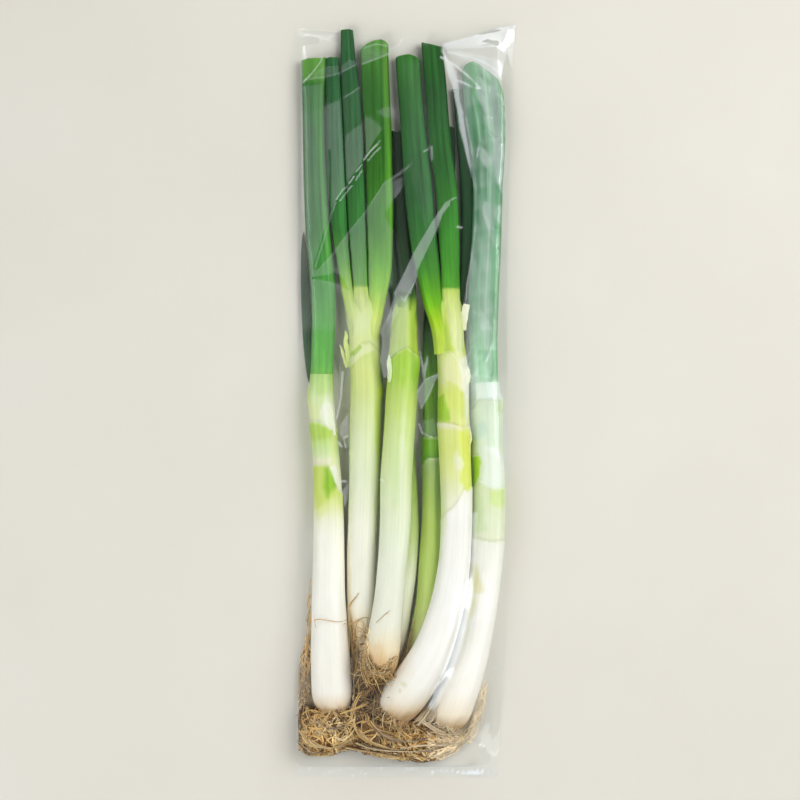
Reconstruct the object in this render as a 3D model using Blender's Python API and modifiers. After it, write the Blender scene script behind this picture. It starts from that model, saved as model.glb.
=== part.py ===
"""Seven large spring onions lying side by side in a clear film bag.

The bunch lies flat. +X runs to the right and +Y from the root end to the cut
leaf tops, and the bag's back film rests on z = 0. Positions along the plants
are given on a plan grid: u counts to the right, v counts from the mouth of the
bag down to the roots, and one plan unit is PLAN metres. Heights are in mm.
"""

import math

import bmesh
import bpy
import numpy as np

# ---------------------------------------------------------------- dimensions
PLAN = 0.0007          # metres per plan unit
MM = 0.001
U0, V0 = 405.0, 400.5  # plan position of the origin, the middle of the bag
FILM = 0.30 * MM       # film panels, drawn thicker than the real film
GAP = 0.30 * MM        # clearance between touching pieces
CLEAR = 0.6 * MM       # front film over the plants
SEAL_TOP, SEAL_END = 766.0, 779.0  # the welded strip below the roots
SHANK_RINGS = 15
LEAF_RINGS, LEAF_SIDES = 11, 10

# Each shank from its root plate to its collar: (u, v, height of the axis in mm,
# radius in plan units).
SHANKS = {
    "onion_1_shank": [
        (333, 707, 14.6, 14), (332.8, 700, 15.0, 18.5), (332.2, 690, 15.3, 20.3),
        (331.5, 675, 15.3, 20.5), (330, 650, 14.7, 19.3), (329.3, 620, 13.7, 17.8),
        (328.6, 590, 12.9, 16.5), (329, 555, 12.2, 15.7), (329, 520, 11.6, 15.0),
        (327.5, 480, 11.0, 13.9), (324.5, 440, 10.6, 13.2), (321.5, 405, 10.2, 12.8),
        (321.5, 377, 9.8, 12.0)],
    "onion_2_shank": [
        (361.8, 668, 9.2, 7.5), (361.8, 662, 9.2, 10.5), (361.8, 652, 9.2, 11.8),
        (361.5, 635, 9.5, 12.5), (361.3, 605, 10.6, 13.7), (361.3, 560, 11.2, 14.7),
        (363, 520, 11.4, 15.0), (364.5, 480, 11.7, 15.4), (365.5, 440, 12.1, 16.0),
        (366.3, 400, 12.2, 16.2), (365.5, 365, 11.8, 15.6), (364, 335, 11.6, 15.4),
        (364.8, 311, 12.0, 15.9)],
    "onion_3_shank": [
        (379, 672, 26.4, 12), (380, 666, 26.8, 16), (381.5, 654, 27.0, 18),
        (383.5, 640, 26.6, 17.4), (387, 615, 24.0, 15.6), (390, 590, 22.6, 15.0),
        (392.6, 560, 22.2, 15.0), (395.5, 520, 22.2, 15.6), (396.3, 480, 22.5, 15.8),
        (398.5, 440, 22.5, 15.6), (401, 400, 22.3, 15.6), (403, 365, 21.6, 15.2),
        (404, 345, 20.8, 14.0), (404.5, 322, 20.0, 13.0),
        (404.8, 304, 18.8, 12.2)],
    "onion_4_shank": [
        (391, 668, 7.2, 5), (392.5, 660, 7.2, 8), (396, 645, 7.2, 9),
        (400, 625, 7.2, 9), (403.5, 600, 7.2, 9.2), (407.5, 570, 7.3, 9.4),
        (409.5, 540, 7.3, 9.3), (410, 510, 7.1, 8.9), (409, 480, 6.8, 8.3),
        (406.5, 440, 6.2, 7.6), (404, 400, 5.9, 7.2), (402.5, 365, 5.8, 7.0),
        (402, 335, 5.7, 7.0)],
    "onion_5_shank": [
        (413, 664, 7.5, 6), (414, 659, 7.8, 8.8), (416.5, 648, 8.2, 10.4),
        (420, 638, 8.5, 11.2), (425, 618, 8.9, 11.7), (428.3, 598, 9.0, 11.8),
        (431, 560, 9.1, 11.9), (433.6, 525, 9.1, 11.7), (434, 490, 8.9, 11.4),
        (433.3, 455, 8.7, 11.2), (433, 436, 8.5, 11.0)],
    "onion_6_shank": [
        (393, 711, 19, 15), (396.5, 706, 20.2, 19.5), (402, 698, 21.8, 21.8),
        (410.5, 686, 24.4, 22), (420, 671.5, 27.4, 21), (429.5, 654.5, 29.0, 19.6),
        (438, 634, 28.2, 18), (445.5, 610, 25.8, 16.8), (450.8, 585, 23.4, 16.0),
        (454.3, 560, 22.0, 15.5), (456, 530, 21.4, 15.3), (456.3, 500, 21.3, 15.6),
        (455, 460, 21.4, 15.9), (453.6, 430, 21.4, 15.8), (453.2, 400, 20.4, 15.3),
        (452.5, 370, 19.2, 15.2), (450, 345, 17.9, 15.0), (448.5, 322, 16.8, 16.0)],
    "onion_7_shank": [
        (446, 725, 13.4, 13), (447.5, 720, 13.9, 17.5), (451, 711, 14.5, 19.3),
        (456, 698, 14.7, 19.6), (463, 680, 14.2, 18.8), (469.5, 660, 13.4, 17.6),
        (474.5, 640, 12.8, 16.8), (478.7, 618, 12.5, 16.2), (483, 590, 12.3, 16.1),
        (486.8, 555, 12.3, 16.4), (488.6, 520, 12.3, 16.5), (488.6, 480, 12.3, 16.4),
        (487, 440, 12.1, 16.0), (486, 405, 12.0, 16.2), (484.5, 384, 11.6, 15.0)],
}

# Each leaf from the collar to its cut top or tip: (u, v, height in mm, half
# width in plan units, half thickness in mm).
LEAVES = {
    "onion_1_leaf_a": [
        (321.8, 376, 9.6, 11.0, 6.6), (322.5, 345, 9.0, 11.4, 6.0),
        (323, 300, 8.4, 11.8, 5.4), (320.5, 260, 8.0, 12.2, 5.0),
        (317.2, 220, 7.6, 12.0, 4.8), (315.3, 180, 7.2, 11.4, 4.6),
        (314, 140, 7.0, 11.0, 4.4), (313.2, 100, 6.4, 10.8, 4.2),
        (312.8, 57, 5.6, 11.3, 3.6)],
    "onion_1_leaf_b": [
        (310, 374, 2.9, 3.4, 1.3), (307, 330, 2.5, 5.0, 1.3),
        (305, 290, 2.3, 4.8, 1.2), (303.8, 255, 2.1, 3.2, 1.0),
        (303.2, 231, 2.0, 1.1, 0.6)],
    "onion_2_leaf_a": [
        (351.2, 307.8, 11.2, 4.8, 4.8), (347.5, 290, 10.0, 5.6, 4.4),
        (344, 265, 9.4, 6.4, 4.0), (340.9, 240, 9.0, 7.2, 3.9),
        (337.5, 200, 8.6, 8.2, 3.8), (334.9, 150, 8.0, 8.3, 3.7),
        (333.5, 100, 6.6, 8.0, 3.5), (331.9, 57, 5.4, 6.5, 3.0)],
    "onion_2_leaf_b": [
        (362.6, 308.6, 11.6, 5.5, 5.2), (360.8, 285, 11.0, 6.8, 4.6),
        (359.4, 260, 10.8, 7.6, 4.2), (357.8, 240, 10.6, 8.2, 4.0),
        (356, 200, 10.0, 9.0, 3.8), (353.7, 150, 9.0, 9.3, 3.7),
        (351.7, 100, 7.4, 9.0, 3.5), (348.4, 60, 6.0, 7.5, 3.1),
        (346.8, 29.5, 4.8, 5.8, 2.6)],
    "onion_2_leaf_c": [
        (375, 308.6, 11.6, 5.9, 5.0), (378, 290, 11.0, 8.8, 4.8),
        (379.5, 270, 11.0, 11.0, 4.6), (380, 240, 11.0, 12.0, 4.6),
        (379.7, 200, 10.8, 12.8, 4.6), (378.5, 140, 10.0, 12.9, 4.4),
        (376.5, 100, 8.6, 13.3, 4.2), (374.6, 60, 6.4, 13.6, 3.6),
        (374.8, 42, 5.6, 13.2, 3.4)],
    "onion_3_leaf": [
        (409.6, 302.2, 14.6, 6.0, 3.4), (408.6, 288, 11.6, 6.8, 2.9),
        (406.0, 270, 8.8, 7.4, 2.8), (402.5, 240, 6.2, 8.0, 2.7),
        (399.7, 200, 4.8, 8.4, 2.6), (398.8, 160, 4.4, 8.4, 2.5),
        (398.5, 131, 4.2, 8.0, 2.4)],
    "onion_4_leaf": [
        (401.5, 334, 5.5, 5.8, 3.6), (399, 310, 5.0, 6.8, 2.8),
        (395, 280, 4.4, 7.2, 2.4), (389.5, 250, 3.8, 6.8, 2.1),
        (383.5, 215, 3.3, 7.0, 2.0), (380.5, 175, 3.1, 7.0, 1.9),
        (379.5, 150, 3.0, 6.8, 1.8)],
    "onion_5_leaf": [
        (432, 435, 8.0, 7.0, 4.6), (431.5, 400, 6.8, 8.0, 3.6),
        (431, 365, 5.6, 8.0, 3.0), (431.5, 330, 4.8, 8.0, 2.7),
        (434.5, 290, 4.2, 8.0, 2.5), (440, 245, 3.9, 7.8, 2.4),
        (446, 200, 3.7, 7.4, 2.3), (449.8, 160, 3.5, 5.6, 2.0),
        (450.3, 126, 3.4, 3.6, 1.8)],
    "onion_6_leaf_a": [
        (436.8, 321, 16.2, 7.4, 6.2), (433.3, 305, 14.8, 8.6, 5.6),
        (430.3, 285, 13.2, 10.4, 5.0), (427.3, 265, 12.2, 12.0, 4.8),
        (423.6, 240, 11.4, 13.0, 4.6), (419.6, 200, 10.4, 13.9, 4.5),
        (416, 160, 9.8, 13.0, 4.4), (412.8, 120, 8.6, 12.2, 4.2),
        (410, 90, 7.4, 12.0, 4.0), (407.7, 57, 6.0, 12.2, 3.6)],
    "onion_6_leaf_b": [
        (452.6, 321, 17.2, 6.8, 6.0), (451, 300, 15.2, 7.8, 5.4),
        (450.2, 280, 13.8, 8.6, 5.0), (449.2, 250, 12.2, 9.4, 4.7),
        (447, 200, 10.8, 10.7, 4.5), (440.8, 150, 9.8, 10.7, 4.3),
        (437.3, 110, 8.6, 10.7, 4.1), (435.1, 80, 7.2, 10.8, 3.9),
        (431.6, 44, 5.6, 9.9, 3.4)],
    "onion_6_leaf_c": [
        (459.5, 321, 9.6, 4.0, 2.5), (462.5, 300, 8.2, 5.4, 2.5),
        (466, 270, 6.5, 6.4, 2.5), (468, 235, 5.4, 7.0, 2.4),
        (468, 200, 4.8, 7.2, 2.4), (465, 155, 4.3, 6.6, 2.3),
        (461, 118, 4.0, 5.6, 2.1), (457.8, 88, 3.8, 5.3, 2.0)],
    "onion_7_leaf": [
        (484, 383, 12.6, 13.6, 7.0), (483, 350, 12.0, 14.4, 6.0),
        (483.2, 300, 11.0, 15.2, 5.4), (485.5, 260, 10.2, 14.4, 5.2),
        (487.5, 220, 9.6, 14.2, 5.0), (488.5, 180, 9.0, 14.8, 4.8),
        (487.5, 140, 8.2, 18.4, 4.4), (485.5, 115, 7.4, 20.4, 4.0),
        (483, 92, 6.6, 19.8, 3.6), (479.5, 75, 5.9, 15.5, 3.2),
        (476, 63, 5.5, 9.0, 3.0)],
}

# Each root tuft as a coarse cage: (u from, u to, v from, v to, z from, z to),
# and the strands drawn up beside the shank as an arm: (u from, u to, v to, z to).
# The cage's top is narrower than its foot and lower at the roots' tips.
TUFTS = {
    "onion_1_roots": ((297.5, 351.5, 708.5, 757, 0.7, 27), (297.5, 309, 604, 8.5)),
    "onion_2_roots": ((352.5, 374, 670.5, 721, 0.7, 13.5), None),
    "onion_3_roots": ((353.5, 376, 675.5, 720, 14.4, 29), None),
    "onion_4_roots": ((379, 400, 670, 695, 0.7, 6.0), None),
    "onion_5_roots": ((402.5, 424, 666.5, 695, 0.7, 7.2), None),
    "onion_6_roots": ((353, 417, 723.5, 757.5, 0.7, 29), None),
    "onion_7_roots": ((418.5, 472, 728.5, 757.5, 0.7, 24), None),
}
TUFT_INSET, TUFT_END, TUFT_FALL = 0.16, 3.0, 0.45

# Half outlines of the film bag on the plan grid: (v, u).
BAG_LEFT = [(24, 294), (60, 296.5), (120, 297.6), (300, 298), (450, 298), (560, 297),
            (610, 294.8), (700, 294), (750, 294.6), (766, 296), (779, 298)]
BAG_RIGHT = [(22, 516), (60, 513), (100, 511.4), (160, 509.6), (300, 507), (400, 508),
             (480, 510), (560, 510), (620, 507.5), (680, 504), (740, 500.5), (766, 499),
             (779, 497.5)]
# The free edge of the front film at the mouth: (share of the width, v, height mm).
MOUTH = [(0.0, 27, 0.9), (0.06, 27.5, 5.5), (0.25, 31, 9.6), (0.5, 36, 10.4),
         (0.65, 37, 10.2), (0.85, 29, 8.6), (0.95, 25, 6.0), (1.0, 24, 0.9)]

GREEN, WHITE = (0.06, 0.20, 0.06), (0.86, 0.88, 0.74)
TAN, CLEAR_FILM = (0.50, 0.33, 0.14), (0.85, 0.88, 0.88)


# ------------------------------------------------------------------- helpers
def at(u, v, z_mm):
    return np.array([(u - U0) * PLAN, (V0 - v) * PLAN, z_mm * MM])


def material(name, colour, roughness, alpha=1.0):
    mat = bpy.data.materials.get(name)
    if mat is None:
        mat = bpy.data.materials.new(name)
        mat.use_nodes = True
        shader = mat.node_tree.nodes["Principled BSDF"]
        shader.inputs["Base Color"].default_value = (*colour, 1.0)
        shader.inputs["Roughness"].default_value = roughness
        shader.inputs["Metallic"].default_value = 0.0
        shader.inputs["Alpha"].default_value = alpha
    return mat


def smooth_stations(stations, count):
    """count rows evenly spaced along a Catmull-Rom line through the stations."""
    p = np.array(stations, float)
    p = np.vstack([2 * p[0] - p[1], p, 2 * p[-1] - p[-2]])
    rows = []
    for i in range(1, len(p) - 2):
        for t in np.linspace(0, 1, 12, endpoint=False):
            a, b, c, d = p[i - 1], p[i], p[i + 1], p[i + 2]
            rows.append(0.5 * (2 * b + (c - a) * t + (2 * a - 5 * b + 4 * c - d) * t ** 2
                               + (3 * b - a - 3 * c + d) * t ** 3))
    rows.append(p[-2])
    rows = np.array(rows)
    step = np.hypot(np.diff(rows[:, 0]), np.diff(rows[:, 1]))
    along = np.concatenate([[0], np.cumsum(step)])
    wanted = np.linspace(0, along[-1], count)
    return np.array([np.interp(wanted, along, rows[:, k]) for k in range(rows.shape[1])]).T


def collection(name):
    made = bpy.data.collections.new(name)
    bpy.context.scene.collection.children.link(made)
    return made


def finish(obj, mat, parent, where):
    obj.data.materials.append(mat)
    if obj.type == "MESH":
        obj.data.shade_smooth()
    obj.parent = parent
    for old in list(obj.users_collection):
        old.objects.unlink(obj)
    where.objects.link(obj)
    return obj


# -------------------------------------------------------------------- pieces
def shank(name, stations):
    """A round stem: a curve whose radius follows the stations, with filled caps."""
    p = np.array(stations, float)
    ends = smooth_stations(stations, SHANK_RINGS)
    # The root end keeps its own stations, so that its rounding stays.
    rows = np.vstack([p[:3], ends[ends[:, 1] < p[2, 1] - 6]])
    curve = bpy.data.curves.new(name, "CURVE")
    curve.dimensions = "3D"
    curve.bevel_depth = 1.0
    curve.bevel_resolution = 4
    curve.use_fill_caps = True
    curve.twist_mode = "Z_UP"
    spline = curve.splines.new("POLY")
    spline.points.add(len(rows) - 1)
    for point, (u, v, z, r) in zip(spline.points, rows):
        point.co = (*at(u, v, z), 1.0)
        point.radius = r * PLAN
    return bpy.data.objects.new(name, curve)


def leaf(name, stations):
    """A flattened tube: a loft through ellipses that widen and thin along the leaf."""
    rows = smooth_stations(stations, LEAF_RINGS)
    axis = np.array([at(u, v, z) for u, v, z, _, _ in rows])
    along = np.gradient(axis, axis=0)
    along /= np.linalg.norm(along, axis=1)[:, None]
    bm = bmesh.new()
    rings = []
    for centre, t, (_, _, _, a, b) in zip(axis, along, rows):
        side = np.cross(t, (0, 0, 1))
        side /= np.linalg.norm(side)
        up = np.cross(side, t)
        ring = []
        for k in range(LEAF_SIDES):
            w = 2 * math.pi * k / LEAF_SIDES
            ring.append(bm.verts.new(centre + side * (a * PLAN * math.cos(w))
                                     + up * (b * MM * math.sin(w))))
        rings.append(ring)
    for low, high in zip(rings, rings[1:]):
        for k in range(LEAF_SIDES):
            n = (k + 1) % LEAF_SIDES
            bm.faces.new((low[k], low[n], high[n], high[k]))
    bm.faces.new(rings[0])
    bm.faces.new(rings[-1])
    bmesh.ops.recalc_face_normals(bm, faces=bm.faces)
    mesh = bpy.data.meshes.new(name)
    bm.to_mesh(mesh)
    bm.free()
    return bpy.data.objects.new(name, mesh)


def tuft(name, block, arm):
    """A mat of roots as one soft block, from a coarse cage with Subdivision."""
    u0, u1, v0, v1, z0, z1 = block
    inset = TUFT_INSET * (u1 - u0)
    bm = bmesh.new()
    bmesh.ops.create_cube(bm, size=1.0)
    bmesh.ops.subdivide_edges(bm, edges=bm.edges[:], cuts=1, use_grid_fill=True)
    for vert in bm.verts:
        right, root, up = (c + 0.5 for c in vert.co)
        foot = (u0 + (u1 - u0) * right, v1 + (v0 - v1) * root, z0)
        crown = (u0 + inset + (u1 - u0 - 2 * inset) * right, v1 - TUFT_END * (1 - root)
                 + (v0 - v1) * root, z1 - TUFT_FALL * (z1 - z0) * (1 - root))
        vert.co = at(*[lo + (hi - lo) * up for lo, hi in zip(foot, crown)])
    if arm:
        arm_u0, arm_u1, arm_v, arm_z = arm
        cut_x, cut_z = at(arm_u1, 0, 0)[0], arm_z * MM
        for point, normal in (((cut_x, 0, 0), (1, 0, 0)), ((0, 0, cut_z), (0, 0, 1))):
            bmesh.ops.bisect_plane(bm, geom=bm.verts[:] + bm.edges[:] + bm.faces[:],
                                   plane_co=point, plane_no=normal)
        top = [f for f in bm.faces if f.normal.y > 0.9
               and f.calc_center_median().x < cut_x and f.calc_center_median().z < cut_z]
        grown = bmesh.ops.extrude_face_region(bm, geom=top)
        bmesh.ops.delete(bm, geom=top, context="FACES")
        for vert in [g for g in grown["geom"] if isinstance(g, bmesh.types.BMVert)]:
            vert.co.y = at(0, arm_v, 0)[1]
    bmesh.ops.recalc_face_normals(bm, faces=bm.faces)
    mesh = bpy.data.meshes.new(name)
    bm.to_mesh(mesh)
    bm.free()
    obj = bpy.data.objects.new(name, mesh)
    soft = obj.modifiers.new("Soft", "SUBSURF")
    soft.levels = soft.render_levels = 1
    return obj


def outline(v, side):
    table = BAG_LEFT if side == "left" else BAG_RIGHT
    return np.interp(v, [p[0] for p in table], [p[1] for p in table])


def back_film():
    """The flat film that the bunch rests on: a filled outline as thick as FILM."""
    curve = bpy.data.curves.new("bag_back_film", "CURVE")
    curve.dimensions = "2D"
    curve.fill_mode = "BOTH"
    curve.extrude = FILM / 2
    left = [(u, v) for v, u in BAG_LEFT]
    right = [(u, v) for v, u in BAG_RIGHT]
    edge = left + right[::-1]
    spline = curve.splines.new("POLY")
    spline.points.add(len(edge) - 1)
    spline.use_cyclic_u = True
    for point, (u, v) in zip(spline.points, edge):
        x, y, _ = at(u, v, 0)
        point.co = (x, y, 0, 1)
    obj = bpy.data.objects.new("bag_back_film", curve)
    obj.location.z = FILM / 2
    return obj


def plant_tops(xs, ys):
    """The height of the highest plant surface over each point of a grid, or 0."""
    height = np.zeros((len(ys), len(xs)))
    grid_x, grid_y = np.meshgrid(xs, ys)
    for stations in list(SHANKS.values()) + list(LEAVES.values()):
        rows = smooth_stations(stations, 150)
        for row in rows:
            x, y, z = at(*row[:3])
            a = row[3] * PLAN
            b = row[4] * MM if len(row) > 4 else a
            near_x = np.flatnonzero(abs(xs - x) < a)
            near_y = np.flatnonzero(abs(ys - y) < a)
            if not len(near_x) or not len(near_y):
                continue
            part = np.ix_(near_y, near_x)
            share = ((grid_x[part] - x) ** 2 + (grid_y[part] - y) ** 2) / a ** 2
            top = np.where(share < 1, z + b * np.sqrt(np.clip(1 - share, 0, 1)), 0)
            height[part] = np.maximum(height[part], top)
    grid_u, grid_v = grid_x / PLAN + U0, V0 - grid_y / PLAN
    for (u0, u1, v0, v1, z0, z1), arm in TUFTS.values():
        top = z1 - TUFT_FALL * (z1 - z0) * np.clip((grid_v - v0) / (v1 - v0), 0, 1)
        rise = np.minimum(grid_u - u0, u1 - grid_u) / (TUFT_INSET * (u1 - u0))
        rise = np.minimum(rise, (v1 - grid_v) / TUFT_END)
        roots = np.where((rise > 0) & (grid_v > v0), z0 + (top - z0) * np.clip(rise, 0, 1), 0)
        if arm:
            strands = ((grid_u > arm[0]) & (grid_u < arm[1]) & (grid_v > arm[2]) & (grid_v < v1))
            roots = np.where(strands, np.maximum(roots, arm[3]), roots)
        height = np.maximum(height, roots * MM)
    return height


def front_film():
    """The film over the plants: a grid laid on their tops and pulled taut between them."""
    edge_share = np.array([0, 0.0125, 0.03, 0.06, 0.10])
    across = np.concatenate([edge_share, np.linspace(0.145, 0.855, 15), 1 - edge_share[::-1]])
    down = np.concatenate([[0, 0.012, 0.03], np.linspace(0.055, 0.955, 41),
                           [0.975, 0.9895, 1.0]])
    nx, ny = len(across), len(down) + 1
    bpy.ops.mesh.primitive_grid_add(x_subdivisions=nx - 1, y_subdivisions=ny - 1, size=1.0)
    obj = bpy.context.object
    obj.name = obj.data.name = "bag_front_film"

    mouth_share = [m[0] for m in MOUTH]
    mouth_v = np.interp(across, mouth_share, [m[1] for m in MOUTH])
    mouth_z = np.interp(across, mouth_share, [m[2] for m in MOUTH]) * MM
    vs = mouth_v[None, :] + (SEAL_TOP - mouth_v[None, :]) * down[:, None]
    vs = np.vstack([vs, np.full(nx, SEAL_END)])
    us = outline(vs, "left") + (outline(vs, "right") - outline(vs, "left")) * across[None, :]
    x = (us - U0) * PLAN
    y = (V0 - vs) * PLAN

    # Plant tops on a fine grid, then the highest within each cell's neighbours, so
    # that every flat facet of the film passes over what lies under it.
    fine_x = np.arange(-0.080, 0.080, 0.001)
    fine_y = np.arange(-0.267, 0.267, 0.001)
    tops = plant_tops(fine_x, fine_y)
    need = np.zeros((ny, nx))
    for j in range(ny):
        for i in range(nx):
            near = np.s_[max(j - 1, 0):j + 2, max(i - 1, 0):i + 2]
            ix = np.flatnonzero((fine_x >= x[near].min()) & (fine_x <= x[near].max()))
            iy = np.flatnonzero((fine_y >= y[near].min()) & (fine_y <= y[near].max()))
            if len(ix) and len(iy):
                need[j, i] = tops[np.ix_(iy, ix)].max()
    need = np.where(need > 0, need + CLEAR + FILM, FILM + GAP)

    seam = FILM + GAP
    z = need.copy()
    z[0] = np.maximum(mouth_z, seam)
    z[:, 0] = z[:, -1] = seam
    z[-2:] = seam
    inner = np.s_[1:-2, 1:-1]
    for _ in range(400):
        pull = (z[1:-2, :-2] + z[1:-2, 2:] + 0.35 * (z[:-3, 1:-1] + z[2:-1, 1:-1])) / 2.7
        z[inner] = np.maximum(need[inner], 0.75 * pull + 0.25 * z[inner])

    order_x = sorted({round(vert.co.x, 6) for vert in obj.data.vertices})
    order_y = sorted({round(vert.co.y, 6) for vert in obj.data.vertices}, reverse=True)
    for vert in obj.data.vertices:
        i = int(np.argmin([abs(vert.co.x - c) for c in order_x]))
        j = int(np.argmin([abs(vert.co.y - c) for c in order_y]))
        vert.co = (x[j, i], y[j, i], z[j, i])
    wall = obj.modifiers.new("Film", "SOLIDIFY")
    wall.thickness = FILM
    wall.offset = 1.0
    return obj


# --------------------------------------------------------------------- build
def main():
    for obj in list(bpy.data.objects):
        bpy.data.objects.remove(obj)
    bunch = collection("spring_onion_bunch")
    base = bpy.data.objects.new("bunch_origin", None)
    bunch.objects.link(base)

    film = material("clear film", CLEAR_FILM, 0.08, 0.3)
    finish(back_film(), film, base, bunch)
    finish(front_film(), film, base, bunch)
    for name, stations in SHANKS.items():
        finish(shank(name, stations), material("white shank", WHITE, 0.4), base, bunch)
    for name, stations in LEAVES.items():
        finish(leaf(name, stations), material("leaf", GREEN, 0.4), base, bunch)
    for name, (block, arm) in TUFTS.items():
        finish(tuft(name, block, arm), material("roots", TAN, 0.9), base, bunch)


main()
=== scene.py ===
"""The looks of seven large spring onions in a clear film bag.

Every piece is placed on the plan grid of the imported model: u counts to the
right and v counts from the bag's mouth down to the roots, one plan unit being
PLAN metres. Heights are in mm. All surfaces are built here as meshes, and all
materials are node based.
"""

import math

import bpy
import numpy as np
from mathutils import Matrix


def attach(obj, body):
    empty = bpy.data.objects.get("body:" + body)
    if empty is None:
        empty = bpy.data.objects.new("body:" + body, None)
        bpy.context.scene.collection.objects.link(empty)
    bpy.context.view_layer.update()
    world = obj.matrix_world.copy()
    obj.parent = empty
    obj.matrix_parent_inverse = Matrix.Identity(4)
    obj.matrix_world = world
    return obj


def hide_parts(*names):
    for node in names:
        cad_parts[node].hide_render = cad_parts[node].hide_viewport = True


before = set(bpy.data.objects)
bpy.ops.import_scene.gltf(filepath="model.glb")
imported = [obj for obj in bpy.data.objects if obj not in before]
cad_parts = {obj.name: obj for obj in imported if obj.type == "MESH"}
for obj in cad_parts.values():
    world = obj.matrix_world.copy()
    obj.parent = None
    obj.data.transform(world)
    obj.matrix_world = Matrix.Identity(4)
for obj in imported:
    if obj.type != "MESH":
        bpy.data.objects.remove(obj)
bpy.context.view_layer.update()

PLAN = 0.0007
MM = 0.001
U0, V0 = 405.0, 400.5
TAU = 2 * math.pi


# ------------------------------------------------------------------- helpers
def at(u, v, z):
    """Plan units and mm to metres, for numbers or arrays."""
    u, v, z = np.broadcast_arrays(np.asarray(u, float), np.asarray(v, float), np.asarray(z, float))
    return np.stack([(u - U0) * PLAN, (V0 - v) * PLAN, z * MM], axis=-1)


def lin(r, g, b):
    """An sRGB colour from 0 to 255 as linear light."""
    c = np.array([r, g, b], float) / 255
    return np.where(c <= 0.04045, c / 12.92, ((c + 0.055) / 1.055) ** 2.4)


def smooth(x, low, high):
    t = np.clip((x - low) / (high - low), 0, 1)
    return t * t * (3 - 2 * t)


def wob(x, y, seed, octaves=3, scale=1.0):
    """Smooth noise from -1 to 1 over two coordinates, made of a few waves."""
    rng = np.random.default_rng(seed)
    total, weight = np.zeros(np.broadcast(x, y).shape), 0.0
    for k in range(octaves):
        f = scale * 2 ** k
        for _ in range(3):
            a, p = rng.uniform(0, TAU), rng.uniform(0, TAU)
            total = total + np.sin(f * (x * math.cos(a) + y * math.sin(a)) + p) / 2 ** k
            weight += 1 / 2 ** k
    return total / weight * 1.6


def stations_line(stations, step=1.0):
    """Rows every step plan units along a Catmull-Rom line through the stations."""
    p = np.array(stations, float)
    p = np.vstack([2 * p[0] - p[1], p, 2 * p[-1] - p[-2]])
    t = np.linspace(0, 1, 16, endpoint=False)[:, None]
    rows = []
    for i in range(1, len(p) - 2):
        a, b, c, d = p[i - 1], p[i], p[i + 1], p[i + 2]
        rows.append(0.5 * (2 * b + (c - a) * t + (2 * a - 5 * b + 4 * c - d) * t ** 2
                           + (3 * b - a - 3 * c + d) * t ** 3))
    rows = np.vstack(rows + [p[-2][None, :]])
    along = np.concatenate([[0], np.cumsum(np.hypot(np.diff(rows[:, 0]), np.diff(rows[:, 1])))])
    count = max(int(along[-1] / step) + 1, 4)
    wanted = np.linspace(0, along[-1], count)
    return np.array([np.interp(wanted, along, rows[:, k]) for k in range(rows.shape[1])]).T


def ramp(x, stops):
    """Colours between stops of (position, sRGB), in linear light."""
    xs = [s[0] for s in stops]
    cols = np.array([lin(*s[1]) for s in stops])
    order = np.argsort(xs)
    xs = np.array(xs)[order]
    cols = cols[order]
    return np.stack([np.interp(x, xs, cols[:, k]) for k in range(3)], axis=-1)


def mesh_object(name, verts, quads, uv=None, tint=None, tris=None, smooth_shade=True):
    """A mesh from arrays, with a UV map and a colour attribute given per vertex."""
    verts = np.asarray(verts, np.float32).reshape(-1, 3)
    quads = np.asarray(quads, np.int32).reshape(-1, 4)
    tris = np.zeros((0, 3), np.int32) if tris is None else np.asarray(tris, np.int32).reshape(-1, 3)
    loops = np.concatenate([quads.ravel(), tris.ravel()]).astype(np.int32)
    starts = np.concatenate([np.arange(len(quads)) * 4,
                             len(quads) * 4 + np.arange(len(tris)) * 3]).astype(np.int32)
    mesh = bpy.data.meshes.new(name)
    mesh.vertices.add(len(verts))
    mesh.vertices.foreach_set("co", verts.ravel())
    mesh.loops.add(len(loops))
    mesh.loops.foreach_set("vertex_index", loops)
    mesh.polygons.add(len(starts))
    mesh.polygons.foreach_set("loop_start", starts)
    mesh.update(calc_edges=True)
    mesh.validate()
    if uv is not None:
        layer = mesh.uv_layers.new(name="along")
        got = np.zeros(len(mesh.loops), np.int32)
        mesh.loops.foreach_get("vertex_index", got)
        layer.data.foreach_set("uv", np.asarray(uv, np.float32).reshape(-1, 2)[got].ravel())
    if tint is not None:
        colour = mesh.color_attributes.new("tint", "FLOAT_COLOR", "POINT")
        rgba = np.ones((len(verts), 4), np.float32)
        rgba[:, :3] = np.asarray(tint, np.float32).reshape(-1, 3)
        colour.data.foreach_set("color", rgba.ravel())
    if smooth_shade:
        mesh.shade_smooth()
    obj = bpy.data.objects.new(name, mesh)
    bpy.context.scene.collection.objects.link(obj)
    return obj


def grid_quads(rows, cols, offset=0, wrap=False):
    i = np.arange(rows - 1)[:, None]
    j = np.arange(cols if wrap else cols - 1)[None, :]
    k = (j + 1) % cols
    a = i * cols + j
    b = i * cols + k
    c = (i + 1) * cols + k
    d = (i + 1) * cols + j
    return (np.stack([a, b, c, d], axis=-1).reshape(-1, 4) + offset).astype(np.int32)


def add_parts(parts):
    """Joins (verts, quads, uv, tint) parts into one set of arrays."""
    verts, quads, uvs, tints, offset = [], [], [], [], 0
    for v, q, uv, t in parts:
        v = np.asarray(v).reshape(-1, 3)
        verts.append(v)
        quads.append(np.asarray(q) + offset)
        uvs.append(np.asarray(uv).reshape(-1, 2))
        tints.append(np.broadcast_to(np.asarray(t), (len(v), 3)) if np.ndim(t) == 1
                     else np.asarray(t).reshape(-1, 3))
        offset += len(v)
    return np.vstack(verts), np.vstack(quads), np.vstack(uvs), np.vstack(tints)


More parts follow.
